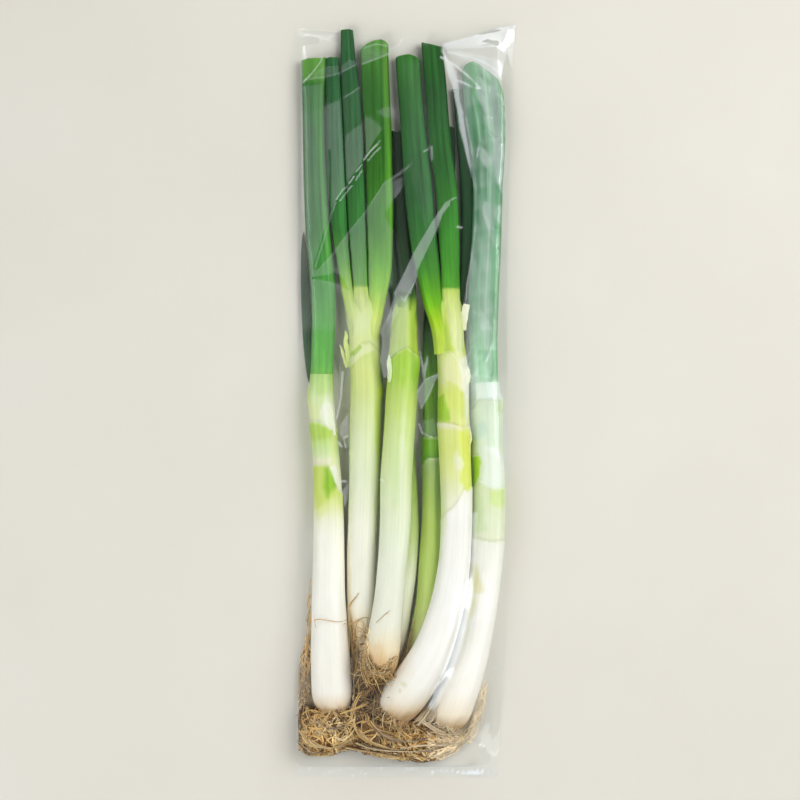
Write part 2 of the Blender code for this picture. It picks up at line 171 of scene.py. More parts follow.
def frames_along(rows):
    """Centre, sideways and upward unit vectors for each row of a stem or leaf."""
    centre = at(rows[:, 0], rows[:, 1], rows[:, 2])
    along = np.gradient(centre, axis=0)
    along /= np.linalg.norm(along, axis=1)[:, None]
    side = np.cross(along, (0, 0, 1.0))
    side /= np.linalg.norm(side, axis=1)[:, None]
    side[side[:, 0] < 0] *= -1
    up = np.cross(along, side)
    up[up[:, 2] < 0] *= -1
    return centre, along, side, up


# ----------------------------------------------------------------- materials
def node_material(name):
    mat = bpy.data.materials.new(name)
    mat.use_nodes = True
    tree = mat.node_tree
    tree.nodes.clear()
    return mat, tree.nodes, tree.links


def math_node(nodes, links, op, a, b=None, clamp=False):
    node = nodes.new("ShaderNodeMath")
    node.operation = op
    node.use_clamp = clamp
    for socket, value in zip(node.inputs, (a, b)):
        if value is None:
            continue
        if isinstance(value, (int, float)):
            socket.default_value = value
        else:
            links.new(value, socket)
    return node.outputs[0]


def stretched_noise(nodes, links, uv, across, along, detail, rough, seed):
    """Noise drawn out along a stem: across and along are its scales in the two directions."""
    mapping = nodes.new("ShaderNodeMapping")
    mapping.inputs["Scale"].default_value = (across, along, 1.0)
    mapping.inputs["Location"].default_value = (seed * 3.7, seed * 1.3, 0.0)
    links.new(uv, mapping.inputs["Vector"])
    noise = nodes.new("ShaderNodeTexNoise")
    noise.inputs["Scale"].default_value = 1.0
    noise.inputs["Detail"].default_value = detail
    noise.inputs["Roughness"].default_value = rough
    links.new(mapping.outputs[0], noise.inputs["Vector"])
    return noise.outputs[0]


def plant_material(name, vein_across, vein_dark, mottle, roughness, bump, sheen, gloss):
    """A plant skin: the tint attribute, fine lengthwise veins, mottling and a moist gloss."""
    mat, nodes, links = node_material(name)
    out = nodes.new("ShaderNodeOutputMaterial")
    shader = nodes.new("ShaderNodeBsdfPrincipled")
    links.new(shader.outputs[0], out.inputs[0])
    uv = nodes.new("ShaderNodeUVMap")
    uv.uv_map = "along"
    tint = nodes.new("ShaderNodeAttribute")
    tint.attribute_name = "tint"
    veins = stretched_noise(nodes, links, uv.outputs[0], vein_across, 9.0, 2.0, 0.55, 1)
    fine = stretched_noise(nodes, links, uv.outputs[0], vein_across * 3.3, 14.0, 1.0, 0.5, 2)
    blotch = stretched_noise(nodes, links, uv.outputs[0], 5.0, 26.0, 3.0, 0.6, 3)
    cells = stretched_noise(nodes, links, uv.outputs[0], 120.0, 900.0, 1.0, 0.5, 4)
    both = math_node(nodes, links, "ADD", math_node(nodes, links, "MULTIPLY", veins, 0.6),
                     math_node(nodes, links, "MULTIPLY", fine, 0.4))
    dark = nodes.new("ShaderNodeMapRange")
    dark.inputs["From Min"].default_value = 0.36
    dark.inputs["From Max"].default_value = 0.64
    dark.inputs["To Min"].default_value = 1.0 - vein_dark
    dark.inputs["To Max"].default_value = 1.0 + vein_dark * 0.6
    links.new(both, dark.inputs["Value"])
    cloud = nodes.new("ShaderNodeMapRange")
    cloud.inputs["From Min"].default_value = 0.3
    cloud.inputs["From Max"].default_value = 0.7
    cloud.inputs["To Min"].default_value = 1.0 - mottle
    cloud.inputs["To Max"].default_value = 1.0 + mottle
    links.new(blotch, cloud.inputs["Value"])
    # The veins are plain on dark green skin and faint on pale skin.
    faint = nodes.new("ShaderNodeMapRange")
    faint.inputs["From Min"].default_value = 0.10
    faint.inputs["From Max"].default_value = 0.60
    faint.inputs["To Min"].default_value = 1.0
    faint.inputs["To Max"].default_value = 0.22
    links.new(tint.outputs["Fac"], faint.inputs["Value"])
    veined = math_node(nodes, links, "SUBTRACT", dark.outputs[0], 1.0)
    veined = math_node(nodes, links, "MULTIPLY", veined, faint.outputs[0])
    veined = math_node(nodes, links, "ADD", veined, 1.0)
    level = math_node(nodes, links, "MULTIPLY", veined, cloud.outputs[0])
    shade = nodes.new("ShaderNodeVectorMath")
    shade.operation = "SCALE"
    links.new(tint.outputs["Color"], shade.inputs[0])
    links.new(level, shade.inputs["Scale"])
    links.new(shade.outputs[0], shader.inputs["Base Color"])
    rough = nodes.new("ShaderNodeMapRange")
    rough.inputs["To Min"].default_value = roughness - 0.08
    rough.inputs["To Max"].default_value = roughness + 0.12
    links.new(blotch, rough.inputs["Value"])
    links.new(rough.outputs[0], shader.inputs["Roughness"])
    shader.inputs["Specular IOR Level"].default_value = gloss
    shader.inputs["Coat Weight"].default_value = sheen
    shader.inputs["Coat Roughness"].default_value = 0.3
    height = math_node(nodes, links, "ADD", both, math_node(nodes, links, "MULTIPLY", cells, 0.15))
    relief = nodes.new("ShaderNodeBump")
    relief.inputs["Strength"].default_value = 0.6
    relief.inputs["Distance"].default_value = bump
    links.new(height, relief.inputs["Height"])
    links.new(relief.outputs[0], shader.inputs["Normal"])
    return mat


def root_material():
    mat, nodes, links = node_material("dry roots")
    out = nodes.new("ShaderNodeOutputMaterial")
    shader = nodes.new("ShaderNodeBsdfPrincipled")
    links.new(shader.outputs[0], out.inputs[0])
    uv = nodes.new("ShaderNodeUVMap")
    uv.uv_map = "along"
    tint = nodes.new("ShaderNodeAttribute")
    tint.attribute_name = "tint"
    rings = stretched_noise(nodes, links, uv.outputs[0], 2.0, 260.0, 2.0, 0.6, 5)
    soil = stretched_noise(nodes, links, uv.outputs[0], 1.0, 60.0, 3.0, 0.65, 6)
    level = nodes.new("ShaderNodeMapRange")
    level.inputs["From Min"].default_value = 0.3
    level.inputs["From Max"].default_value = 0.7
    level.inputs["To Min"].default_value = 0.78
    level.inputs["To Max"].default_value = 1.15
    links.new(math_node(nodes, links, "ADD", math_node(nodes, links, "MULTIPLY", rings, 0.5),
                        math_node(nodes, links, "MULTIPLY", soil, 0.5)), level.inputs["Value"])
    shade = nodes.new("ShaderNodeVectorMath")
    shade.operation = "SCALE"
    links.new(tint.outputs["Color"], shade.inputs[0])
    links.new(level.outputs[0], shade.inputs["Scale"])
    links.new(shade.outputs[0], shader.inputs["Base Color"])
    shader.inputs["Roughness"].default_value = 0.75
    shader.inputs["Specular IOR Level"].default_value = 0.25
    relief = nodes.new("ShaderNodeBump")
    relief.inputs["Strength"].default_value = 0.5
    relief.inputs["Distance"].default_value = 0.0002
    links.new(rings, relief.inputs["Height"])
    links.new(relief.outputs[0], shader.inputs["Normal"])
    return mat


def film_material(name, ior, roughness, wrinkle):
    """Clear film: see-through, with a mirror's share that the sheen attribute raises. That
    attribute is a painted reflection map, set region by region, for where the film glares."""
    mat, nodes, links = node_material(name)
    out = nodes.new("ShaderNodeOutputMaterial")
    mix = nodes.new("ShaderNodeMixShader")
    clear = nodes.new("ShaderNodeBsdfTransparent")
    clear.inputs["Color"].default_value = (0.994, 0.997, 0.996, 1.0)
    gloss = nodes.new("ShaderNodeBsdfAnisotropic")
    gloss.inputs["Color"].default_value = (0.93, 0.98, 1.0, 1.0)
    uv = nodes.new("ShaderNodeUVMap")
    uv.uv_map = "along"
    ripples = stretched_noise(nodes, links, uv.outputs[0], 70.0, 45.0, 4.0, 0.62, 7)
    clouds = stretched_noise(nodes, links, uv.outputs[0], 26.0, 16.0, 3.0, 0.6, 8)
    rough = nodes.new("ShaderNodeMapRange")
    rough.inputs["From Min"].default_value = 0.3
    rough.inputs["From Max"].default_value = 0.7
    rough.inputs["To Min"].default_value = roughness * 0.6
    rough.inputs["To Max"].default_value = roughness * 1.6
    links.new(clouds, rough.inputs["Value"])
    links.new(rough.outputs[0], gloss.inputs["Roughness"])
    relief = nodes.new("ShaderNodeBump")
    relief.inputs["Strength"].default_value = 1.0
    relief.inputs["Distance"].default_value = wrinkle
    links.new(ripples, relief.inputs["Height"])
    links.new(relief.outputs[0], gloss.inputs["Normal"])
    # The film mirrors alike from both faces, so the index is turned over for the back.
    share = nodes.new("ShaderNodeFresnel")
    face = nodes.new("ShaderNodeNewGeometry")
    index = nodes.new("ShaderNodeMapRange")
    index.inputs["To Min"].default_value = ior
    index.inputs["To Max"].default_value = 1 / ior
    links.new(face.outputs["Backfacing"], index.inputs["Value"])
    links.new(index.outputs[0], share.inputs["IOR"])
    links.new(relief.outputs[0], share.inputs["Normal"])
    # Painted reflection: the strength of the film's glare is read from the tint attribute.
    sheen = nodes.new("ShaderNodeAttribute")
    sheen.attribute_name = "tint"
    uneven = nodes.new("ShaderNodeMapRange")
    uneven.inputs["From Min"].default_value = 0.3
    uneven.inputs["From Max"].default_value = 0.7
    uneven.inputs["To Min"].default_value = 0.82
    uneven.inputs["To Max"].default_value = 1.18
    links.new(clouds, uneven.inputs["Value"])
    level = math_node(nodes, links, "MULTIPLY", share.outputs[0], sheen.outputs["Fac"])
    level = math_node(nodes, links, "MULTIPLY", level, uneven.outputs[0])
    level = math_node(nodes, links, "MINIMUM", level, 0.85)
    links.new(level, mix.inputs[0])
    links.new(clear.outputs[0], mix.inputs[1])
    links.new(gloss.outputs[0], mix.inputs[2])
    links.new(mix.outputs[0], out.inputs[0])
    return mat


SHANK_MAT = plant_material("shank skin", 24.0, 0.20, 0.035, 0.36, 0.00030, 0.10, 0.35)
LEAF_MAT = plant_material("leaf skin", 21.0, 0.37, 0.15, 0.40, 0.00036, 0.02, 0.16)
ROOT_MAT = root_material()
FRONT_FILM = film_material("front film", 1.75, 0.07, 0.00012)
BACK_FILM = film_material("back film", 1.6, 0.10, 0.00015)


def place(obj, mat, slot, *nodes_replaced):
    obj.data.materials.append(mat)
    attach(obj, "root")
    if nodes_replaced:
        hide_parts(*nodes_replaced)
    return obj


# -------------------------------------------------------------------- shanks
# (u, v, height of the axis in mm, half width in plan units, half height in mm)
SHANKS = {
    1: [(333.4, 711.5, 14.4, 1.0, 0.7), (333.2, 710.6, 14.5, 9.5, 6.4), (333, 707.5, 14.7, 15.0, 10.2),
        (332.8, 702, 15.0, 18.2, 12.4), (332.2, 692, 15.3, 20.1, 13.6), (331.5, 676, 15.2, 20.2, 13.8),
        (330, 650, 14.6, 19.0, 13.0), (329.3, 620, 13.7, 17.6, 12.0), (328.6, 590, 12.9, 16.3, 11.1),
        (329, 555, 12.2, 15.5, 10.5), (329, 520, 11.6, 14.9, 10.0), (327.5, 480, 11.0, 13.8, 9.4),
        (324.5, 440, 10.6, 13.3, 9.0), (321.2, 405, 10.2, 13.1, 8.7), (321.3, 385, 9.9, 12.4, 8.2),
        (321.5, 373.5, 9.8, 11.8, 7.6)],
    2: [(361.8, 670, 9.2, 1.0, 0.6), (361.8, 669.2, 9.2, 6.5, 4.4), (361.8, 664, 9.2, 9.5, 6.3),
        (361.8, 652, 9.2, 11.6, 7.8), (361.5, 635, 9.5, 12.8, 8.4), (361.3, 605, 10.6, 14.2, 9.3),
        (361.3, 560, 11.2, 14.9, 9.9), (363, 520, 11.4, 14.9, 10.1), (364.5, 480, 11.7, 15.2, 10.3),
        (365.5, 440, 12.1, 15.9, 10.7), (366.3, 400, 12.2, 16.2, 10.8), (366, 378, 12.0, 15.9, 10.4),
        (364, 350, 11.6, 15.2, 9.9), (364, 332, 11.6, 15.8, 9.6), (363.8, 320, 11.6, 16.6, 9.0),
        (363.6, 311, 11.5, 17.0, 8.0), (363.2, 304, 11.4, 15.6, 6.6), (363.0, 299, 11.2, 12.0, 4.6),
        (362.8, 295, 11.0, 7.0, 2.0)],
    3: [(379.2, 673.4, 26.2, 1.0, 0.7), (379.3, 672.6, 26.2, 9.0, 6.0), (379.6, 669, 26.6, 14.4, 9.6),
        (380.4, 662, 26.8, 17.2, 11.6), (381.5, 652, 26.8, 17.7, 12.0), (383.6, 640, 26.5, 17.2, 11.6),
        (387, 615, 24.0, 15.6, 10.4), (390, 590, 22.6, 14.9, 10.0), (392.6, 560, 22.2, 14.8, 10.0),
        (395.5, 520, 22.2, 15.6, 10.4), (396.3, 480, 22.5, 15.8, 10.6), (398.6, 440, 22.5, 15.6, 10.5),
        (401.2, 400, 22.3, 15.9, 10.4), (403, 372, 21.6, 15.8, 10.2), (403.6, 355, 21.0, 15.2, 9.8),
        (404, 338, 20.4, 13.8, 9.4), (404.5, 322, 19.9, 13.0, 8.7), (404.9, 313, 19.3, 12.2, 7.4),
        (405.2, 306, 18.8, 10.6, 5.6), (405.4, 300, 18.2, 8.0, 3.2), (405.6, 296, 17.6, 4.0, 1.2)],
    4: [(390.6, 669.6, 7.2, 1.0, 0.6), (391, 668.8, 7.2, 4.6, 3.2), (392.5, 660, 7.2, 7.8, 5.4),
        (396, 645, 7.2, 8.8, 6.1), (400, 625, 7.2, 9.0, 6.2), (403.7, 600, 7.2, 9.2, 6.3),
        (407.8, 570, 7.3, 9.3, 6.4), (409.8, 540, 7.3, 9.2, 6.4), (410, 510, 7.1, 8.8, 6.1),
        (409, 480, 6.8, 8.2, 5.7), (406.5, 440, 6.2, 7.5, 5.2), (404, 400, 5.9, 7.1, 4.9),
        (402.5, 365, 5.8, 6.9, 4.8), (402, 335, 5.7, 6.9, 4.8)],
    5: [(412.8, 665.6, 7.4, 1.0, 0.6), (413, 665, 7.5, 5.4, 3.7), (414, 659, 7.8, 8.4, 5.8),
        (416.5, 648, 8.2, 10.2, 7.0), (420, 638, 8.5, 11.0, 7.6), (425, 618, 8.9, 11.6, 8.0),
        (428.3, 598, 9.0, 11.7, 8.1), (431, 560, 9.1, 11.9, 8.2), (433.6, 525, 9.1, 11.8, 8.1),
        (434, 490, 8.9, 11.4, 7.9), (433.3, 455, 8.7, 11.2, 7.7), (433, 434.5, 8.5, 11.0, 7.5)],
    6: [(390.6, 713.8, 18.4, 1.0, 0.7), (391.4, 713.2, 18.6, 11.0, 7.5), (393.8, 709.5, 19.3, 17.6, 12.0),
        (398, 703.5, 20.8, 20.8, 14.2), (403, 696.5, 22.2, 21.9, 15.0), (411, 685.5, 24.4, 21.7, 15.0),
        (420, 671.5, 27.2, 20.7, 14.2), (429.5, 654.5, 28.8, 19.4, 13.3), (438, 634, 28.0, 17.9, 12.3),
        (445.5, 610, 25.8, 16.7, 11.5), (450.8, 585, 23.4, 15.9, 11.0), (454.3, 560, 22.0, 15.4, 10.6),
        (456, 530, 21.4, 15.2, 10.5), (456.3, 500, 21.3, 15.5, 10.7), (455, 460, 21.4, 15.8, 10.9),
        (453.6, 430, 21.4, 15.8, 10.8), (453.2, 400, 20.4, 15.2, 10.5), (452.5, 370, 19.2, 15.3, 10.2),
        (450.4, 345, 17.9, 14.4, 9.6), (449, 334, 17.3, 15.0, 9.3), (448.6, 325, 16.9, 15.8, 8.8),
        (448.6, 316, 16.6, 15.6, 7.6), (449.4, 308, 16.2, 14.0, 6.0), (450.6, 301, 15.9, 10.5, 4.0),
        (451.0, 296, 15.5, 6.0, 1.6)],
    7: [(445.8, 727.2, 13.2, 1.0, 0.7), (446, 726.4, 13.3, 10.0, 6.8), (447.2, 722, 13.8, 15.6, 10.6),
        (450.2, 713.5, 14.4, 18.8, 12.8), (454.5, 702, 14.7, 19.5, 13.2), (463, 680, 14.1, 18.4, 12.7),
        (469.5, 660, 13.4, 17.4, 11.9), (474.5, 640, 12.8, 16.6, 11.4), (478.7, 618, 12.5, 16.0, 11.1),
        (483, 590, 12.3, 16.0, 11.0), (486.8, 555, 12.3, 16.3, 11.1), (488.6, 520, 12.3, 16.4, 11.2),
        (488.6, 480, 12.3, 16.3, 11.2), (487, 440, 12.1, 15.9, 10.9), (486.2, 415, 12.0, 16.4, 10.8),
        (485.6, 400, 11.9, 15.6, 10.2), (484.5, 382, 11.8, 15.0, 9.4)],
}

# The colours of each shank, innermost layer first. A layer of sheath covers what lies
# towards the root from its torn edge, which is drawn as (u, v) points with a raggedness.
# Its colours are given along v from the edge towards the root.
LAYERS = {
    1: [(None, 0, [(366, (120, 190, 84)), (374, (170, 212, 120)), (384, (190, 222, 138)), (398, (214, 234, 172)),
                   (418, (222, 236, 184))]),
        ([(300, 420), (311, 422), (320, 422.5), (326, 426), (332, 431), (340, 427)], 1.2,
         [(420, (180, 216, 88)), (436, (182, 216, 90)), (441, (196, 226, 130)), (449, (204, 230, 156)),
          (460, (226, 236, 190)), (466, (232, 236, 196))]),
        ([(300, 468), (313, 466), (318, 464), (324, 467), (328, 468.5), (332, 476), (337, 489), (342, 494)], 1.6,
         [(462, (196, 218, 92)), (476, (192, 216, 82)), (490, (210, 227, 116)), (504, (228, 238, 162)),
          (518, (244, 247, 218)), (535, (253, 253, 238)), (600, (254, 254, 246)), (690, (253, 250, 240)),
          (702, (240, 224, 196)), (709, (206, 176, 132))])],
    2: [(None, 0, [(286, (184, 214, 92)), (300, (204, 226, 120)), (316, (214, 233, 146)), (336, (222, 236, 160)),
                   (352, (218, 233, 150))]),
        ([(340, 362), (347, 361), (352, 355), (362, 345), (370, 343), (378, 352), (386, 356)], 0.9,
         [(343, (216, 231, 140)), (356, (212, 230, 132)), (372, (218, 231, 138)), (392, (214, 230, 144)),
          (410, (220, 234, 166)), (440, (228, 240, 192)), (480, (234, 243, 208)), (530, (247, 248, 230)),
          (600, (244, 244, 230)), (636, (244, 232, 200)), (654, (228, 198, 142)), (668, (196, 152, 96))])],
    3: [(None, 0, [(296, (150, 180, 70)), (306, (170, 200, 64)), (320, (178, 206, 72)), (340, (182, 208, 70)),
                   (356, (180, 210, 62))]),
        ([(384, 362), (390, 360), (397, 353), (407, 347.5), (412, 352), (418, 357), (424, 358)], 0.8,
         [(347, (166, 206, 56)), (362, (164, 208, 60)), (378, (168, 209, 66)), (390, (184, 216, 96)),
          (406, (198, 224, 112)), (440, (212, 233, 152)), (470, (220, 237, 176)), (510, (232, 243, 206)),
          (560, (240, 246, 226)), (622, (239, 240, 224)), (648, (240, 226, 190)), (662, (216, 180, 126)), (672, (190, 146, 92))])],
    4: [(None, 0, [(335, (110, 150, 50)), (440, (140, 176, 70)), (500, (166, 194, 92)), (540, (198, 216, 140)),
                   (580, (250, 252, 230)), (640, (250, 248, 230)), (668, (196, 170, 124))])],
    5: [(None, 0, [(428, (100, 170, 36)), (437, (110, 180, 36))]),
        ([(419, 434), (422, 436.5), (432, 437), (446, 437)], 0.4,
         [(436, (130, 190, 30)), (448, (126, 188, 28)), (458, (110, 174, 30))]),
        ([(418, 486), (421.5, 482), (423, 466), (426, 459.5), (430, 458), (446, 457)], 0.7,
         [(457, (182, 206, 140)), (464, (168, 198, 118)), (490, (174, 206, 98)), (525, (182, 212, 84)),
          (560, (190, 216, 106)), (600, (196, 220, 116)), (630, (212, 226, 144)), (662, (208, 204, 152))])],
    6: [(None, 0, [(296, (190, 216, 96)), (312, (206, 228, 110)), (330, (206, 226, 104)), (350, (212, 228, 112)),
                   (362, (216, 228, 140))]),
        ([(430, 352), (440, 353), (450, 351), (455, 357), (460, 362), (464, 370), (472, 372)], 1.4,
         [(350, (222, 230, 150)), (366, (222, 231, 140)), (380, (220, 228, 142)), (392, (214, 228, 110)),
          (406, (216, 231, 112)), (422, (222, 232, 138))]),
        ([(430, 423), (438, 422.5), (452, 424), (462, 428), (468, 426), (476, 428)], 0.5,
         [(422, (238, 234, 208)), (427, (234, 234, 194)), (431, (222, 232, 134)), (448, (220, 232, 126)),
          (470, (230, 239, 150)), (484, (234, 240, 180)), (500, (242, 246, 214))]),
        ([(430, 520), (440, 520), (446, 512), (452, 508), (458, 500), (463, 490), (472, 486)], 0.8,
         [(485, (250, 251, 236)), (505, (254, 254, 247)), (600, (255, 255, 250)), (684, (254, 252, 245)),
          (699, (244, 236, 219)), (708, (226, 205, 170)), (713, (196, 164, 120))])],
    7: [(None, 0, [(376, (200, 232, 204)), (384, (226, 243, 228)), (396, (232, 246, 234)), (403, (206, 230, 190))]),
        ([(468, 412), (474, 408), (478, 401), (490, 400.5), (498, 403), (506, 405)], 0.5,
         [(400, (176, 208, 150)), (404, (212, 232, 196)), (418, (222, 240, 208)), (436, (218, 238, 206)),
          (456, (228, 243, 216))]),
        ([(468, 457), (478, 455.5), (480, 466), (479, 480), (482, 482), (489, 486), (497, 489), (508, 487)], 0.8,
         [(455, (224, 240, 196)), (476, (222, 238, 196)), (500, (226, 239, 194)), (520, (232, 242, 208)),
          (536, (236, 243, 212))]),
        ([(468, 538), (478, 539), (490, 542), (508, 541)], 0.4,
         [(538, (248, 250, 236)), (600, (255, 255, 249)), (690, (254, 251, 243)), (714, (246, 234, 210)),
          (726, (206, 176, 132))])],
}

# Soft patches of colour: (u, v, half width, half length, turn in degrees, sRGB, strength)
PATCHES = {
    1: [(327, 411, 6.5, 17, 8, (240, 246, 224), 0.85), (322, 504, 7, 16, 12, (222, 234, 140), 0.6),
        (320, 432, 9, 8, 0, (176, 214, 72), 0.85),
        (334, 446, 3.5, 22, 0, (226, 238, 160), 0.7),
        (307, 394, 4, 12, 0, (206, 226, 104), 0.7),
        (321, 388, 6, 9, 0, (184, 220, 122), 0.6)],
    2: [(350, 362, 5.5, 9, 18, (170, 206, 56), 0.95), (376, 328, 6, 14, 0, (198, 222, 62), 0.75),
        (384, 322, 4, 18, -14, (140, 196, 20), 0.8), (382, 393, 3.5, 11, 0, (222, 236, 70), 0.95),
        (378, 430, 3.5, 54, 0, (200, 224, 92), 0.85), (377, 520, 3, 50, 0, (206, 222, 128), 0.6),
        (362, 322, 8, 16, 0, (226, 238, 176), 0.7), (348, 600, 3.5, 60, 0, (228, 206, 150), 0.5),
        (352, 640, 5, 34, 0, (222, 176, 112), 0.45)],
    3: [(390, 368, 2.5, 7, 0, (216, 236, 180), 0.75), (415, 374, 3.5, 18, 0, (140, 196, 20), 0.8),
        (394, 462, 6, 60, 0, (206, 232, 166), 0.4), (413, 330, 4, 26, 0, (152, 190, 40), 0.75),
        (417, 312, 3, 14, 0, (96, 150, 24), 0.8), (403, 480, 4, 90, 0, (238, 246, 216), 0.55),
        (375, 652, 9, 14, 30, (222, 180, 118), 0.4)],
    5: [(437, 500, 3, 60, 0, (104, 150, 50), 0.6), (428, 520, 5, 40, 0, (190, 212, 106), 0.5),
        (420, 500, 2.5, 40, 0, (140, 186, 60), 0.5)],
    6: [
        (446, 340, 5, 22, -6, (176, 212, 44), 0.75), (436, 330, 4, 24, -14, (188, 222, 30), 0.8),
        (463, 384, 5, 9, 0, (248, 248, 230), 0.8), (466, 402, 3, 26, 0, (242, 247, 220), 0.7),
        (458, 345, 5, 20, 0, (228, 240, 180), 0.7), (444, 372, 5, 16, 0, (228, 234, 178), 0.6),
        (462, 426, 4, 9, 0, (236, 238, 150), 0.6), (444, 500, 4, 40, 0, (222, 232, 176), 0.5),
        (456, 462, 3, 14, 0, (240, 244, 210), 0.7),
        (398, 678, 14, 24, 40, (241, 237, 214), 0.5), (404, 681.5, 4.5, 2.4, 30, (212, 210, 158), 0.5),
        (400, 688, 2.2, 1.5, 60, (196, 190, 150), 0.5), (391, 697, 2.6, 1.8, 0, (222, 206, 178), 0.5),
        (381, 706, 2.4, 1.8, 0, (160, 146, 104), 0.5), (379, 710, 2, 1.6, 0, (130, 108, 70), 0.5),
        (409, 710, 1.6, 1.4, 0, (180, 170, 148), 0.5)],
    7: [
        (498, 470, 6, 18, 0, (240, 250, 228), 0.8), (480, 450, 7, 4, 40, (236, 248, 240), 0.6),
        (477, 512, 6, 22, 0, (206, 228, 164), 0.6), (474, 584, 4, 18, 6, (232, 226, 166), 0.5),
        (499, 410, 3, 6, 0, (176, 214, 110), 0.6), (478, 425, 5, 16, 0, (210, 234, 208), 0.5)],
}

# Patches with outlines: ((u, v) points, edge softness, sRGB, strength)
FACETS = {
    1: [([(306, 402), (318, 404), (321, 416), (315, 421), (308, 415)], 4, (222, 235, 168), 0.8),
        ([(314, 466), (327, 465), (338, 484), (334, 496), (324, 503), (318, 508), (314, 498)], 8, (202, 224, 90), 0.85),
        ([(325, 468), (329, 467), (334, 476), (337.5, 484), (333, 490), (328, 497), (323, 488)], 7, (146, 198, 0), 1.0),
        ([(330, 466.5), (335, 464), (342, 482), (343, 494), (338, 489)], 2.6, (242, 245, 228), 0.9),
        ([(312, 459), (330, 458), (334, 463), (318, 465.5), (312, 467)], 5, (236, 234, 202), 0.6),
        ([(320.5, 413), (323, 404), (336, 404), (336, 431), (329.5, 429), (323, 420)], 3, (240, 245, 228), 0.9)],
    2: [([(341, 364), (352, 356), (362, 346), (371, 344), (374, 350), (360, 357), (350, 368)], 2.5, (232, 240, 186), 0.8),
        ([(352, 352), (360, 345), (363, 347), (354, 357)], 1.2, (168, 206, 60), 0.8)],
    5: [([(418, 421), (436, 418), (437, 435), (422, 436)], 1.2, (150, 184, 110), 0.5)],
    6: [([(438, 398), (443, 394), (446, 404), (449.5, 419), (448, 421.5), (438, 420.5), (436.5, 408)], 3.4, (160, 206, 20), 0.95),
        ([(446, 354), (462, 352), (468, 360), (470, 384), (458, 386), (446, 380)], 3, (232, 236, 176), 0.75),
        ([(458, 360), (466, 356), (471, 372), (470, 400), (464, 398), (461, 380)], 3, (246, 248, 226), 0.85),
        ([(459, 432), (468, 426), (473, 446), (473, 486), (466, 492), (460, 480), (462, 456)], 3, (222, 236, 70), 0.75),
        ([(455, 459), (460, 455), (464, 464), (460, 472), (457, 468)], 2.2, (242, 246, 216), 0.6),
        ([(428, 488), (442, 486), (444, 520), (440, 560), (430, 566)], 6, (226, 236, 184), 0.6)],
    7: [([(471, 457), (479.5, 456), (481, 462), (478.5, 477), (472, 491), (468, 492)], 2.6, (176, 224, 20), 1.0),
        ([(480.5, 456), (484, 468), (480, 482), (489, 487), (503, 488), (505, 460), (496, 448), (484, 446)], 4, (240, 250, 236), 0.8),
        ([(488.5, 491), (503, 489), (506, 504), (497, 508), (490, 503)], 6, (212, 236, 142), 0.75),
        ([(472, 426), (484, 421), (488, 431), (478, 441), (471, 440)], 3, (196, 226, 204), 0.7),
        ([(472, 493), (484, 497), (486, 530), (473, 534)], 5, (214, 234, 182), 0.6),
        ([(471, 564), (476, 563), (484, 590), (477, 594), (471, 590)], 6, (226, 224, 152), 0.55),
        ([(469, 597), (478, 596), (474, 612), (466, 622)], 6, (228, 226, 158), 0.5),
        ([(464, 628), (470, 626), (467, 640), (461, 646)], 6, (236, 240, 190), 0.3)],
}

# Flared lips of torn sheath: (u, v, half width, half length, height in mm)
FLARES = {
    1: [(305, 396, 5, 9, 2.2), (312, 432, 4, 10, 0.5), (326, 428, 9, 3, 0.7), (325, 470, 9, 3, 0.6)],
    2: [(385, 390, 4, 9, 1.5), (347, 362, 4, 6, 1.3), (378, 347, 4, 8, 0.7), (352, 350, 5, 5, 0.5)],
    3: [(388, 362, 4, 6, 1.0), (419, 364, 4, 8, 1.0), (400, 351, 8, 2.5, 0.5)],
    5: [(424, 461, 4, 6, 0.7)],
    6: [(469, 376, 4, 4.5, 2.0), (467, 312, 4.5, 7, 1.4), (470, 436, 3.5, 6, 1.3), (435, 405, 4, 12, 0.9),
        (452, 424, 16, 2.2, 0.5), (465, 402, 3, 22, 0.6)],
    7: [(501, 400, 4.5, 5, 1.8), (472, 452, 4, 8, 0.6), (487, 402, 12, 2.4, 0.5)],
}


def paint_patches(tint, u, v, patches, seed):
    for k, (cu, cv, hu, hv, turn, rgb, strength) in enumerate(patches):
        a = math.radians(turn)
        du, dv = u - cu, v - cv
        x = (du * math.cos(a) + dv * math.sin(a)) / hu
        y = (-du * math.sin(a) + dv * math.cos(a)) / hv
        d = np.sqrt(x * x + y * y) + 0.16 * wob(u * 0.35, v * 0.25, seed + k, 2)
        w = (strength * (1 - smooth(d, 0.35, 1.25)))[..., None]
        tint = tint * (1 - w) + lin(*rgb) * w
    return tint


def around_stem(cols, gather):
    """Angles around a stem from its underside, closer together on its upper side."""
    t = np.linspace(0, 1, cols)
    return -math.pi / 2 + TAU * t + gather * np.sin(TAU * t)


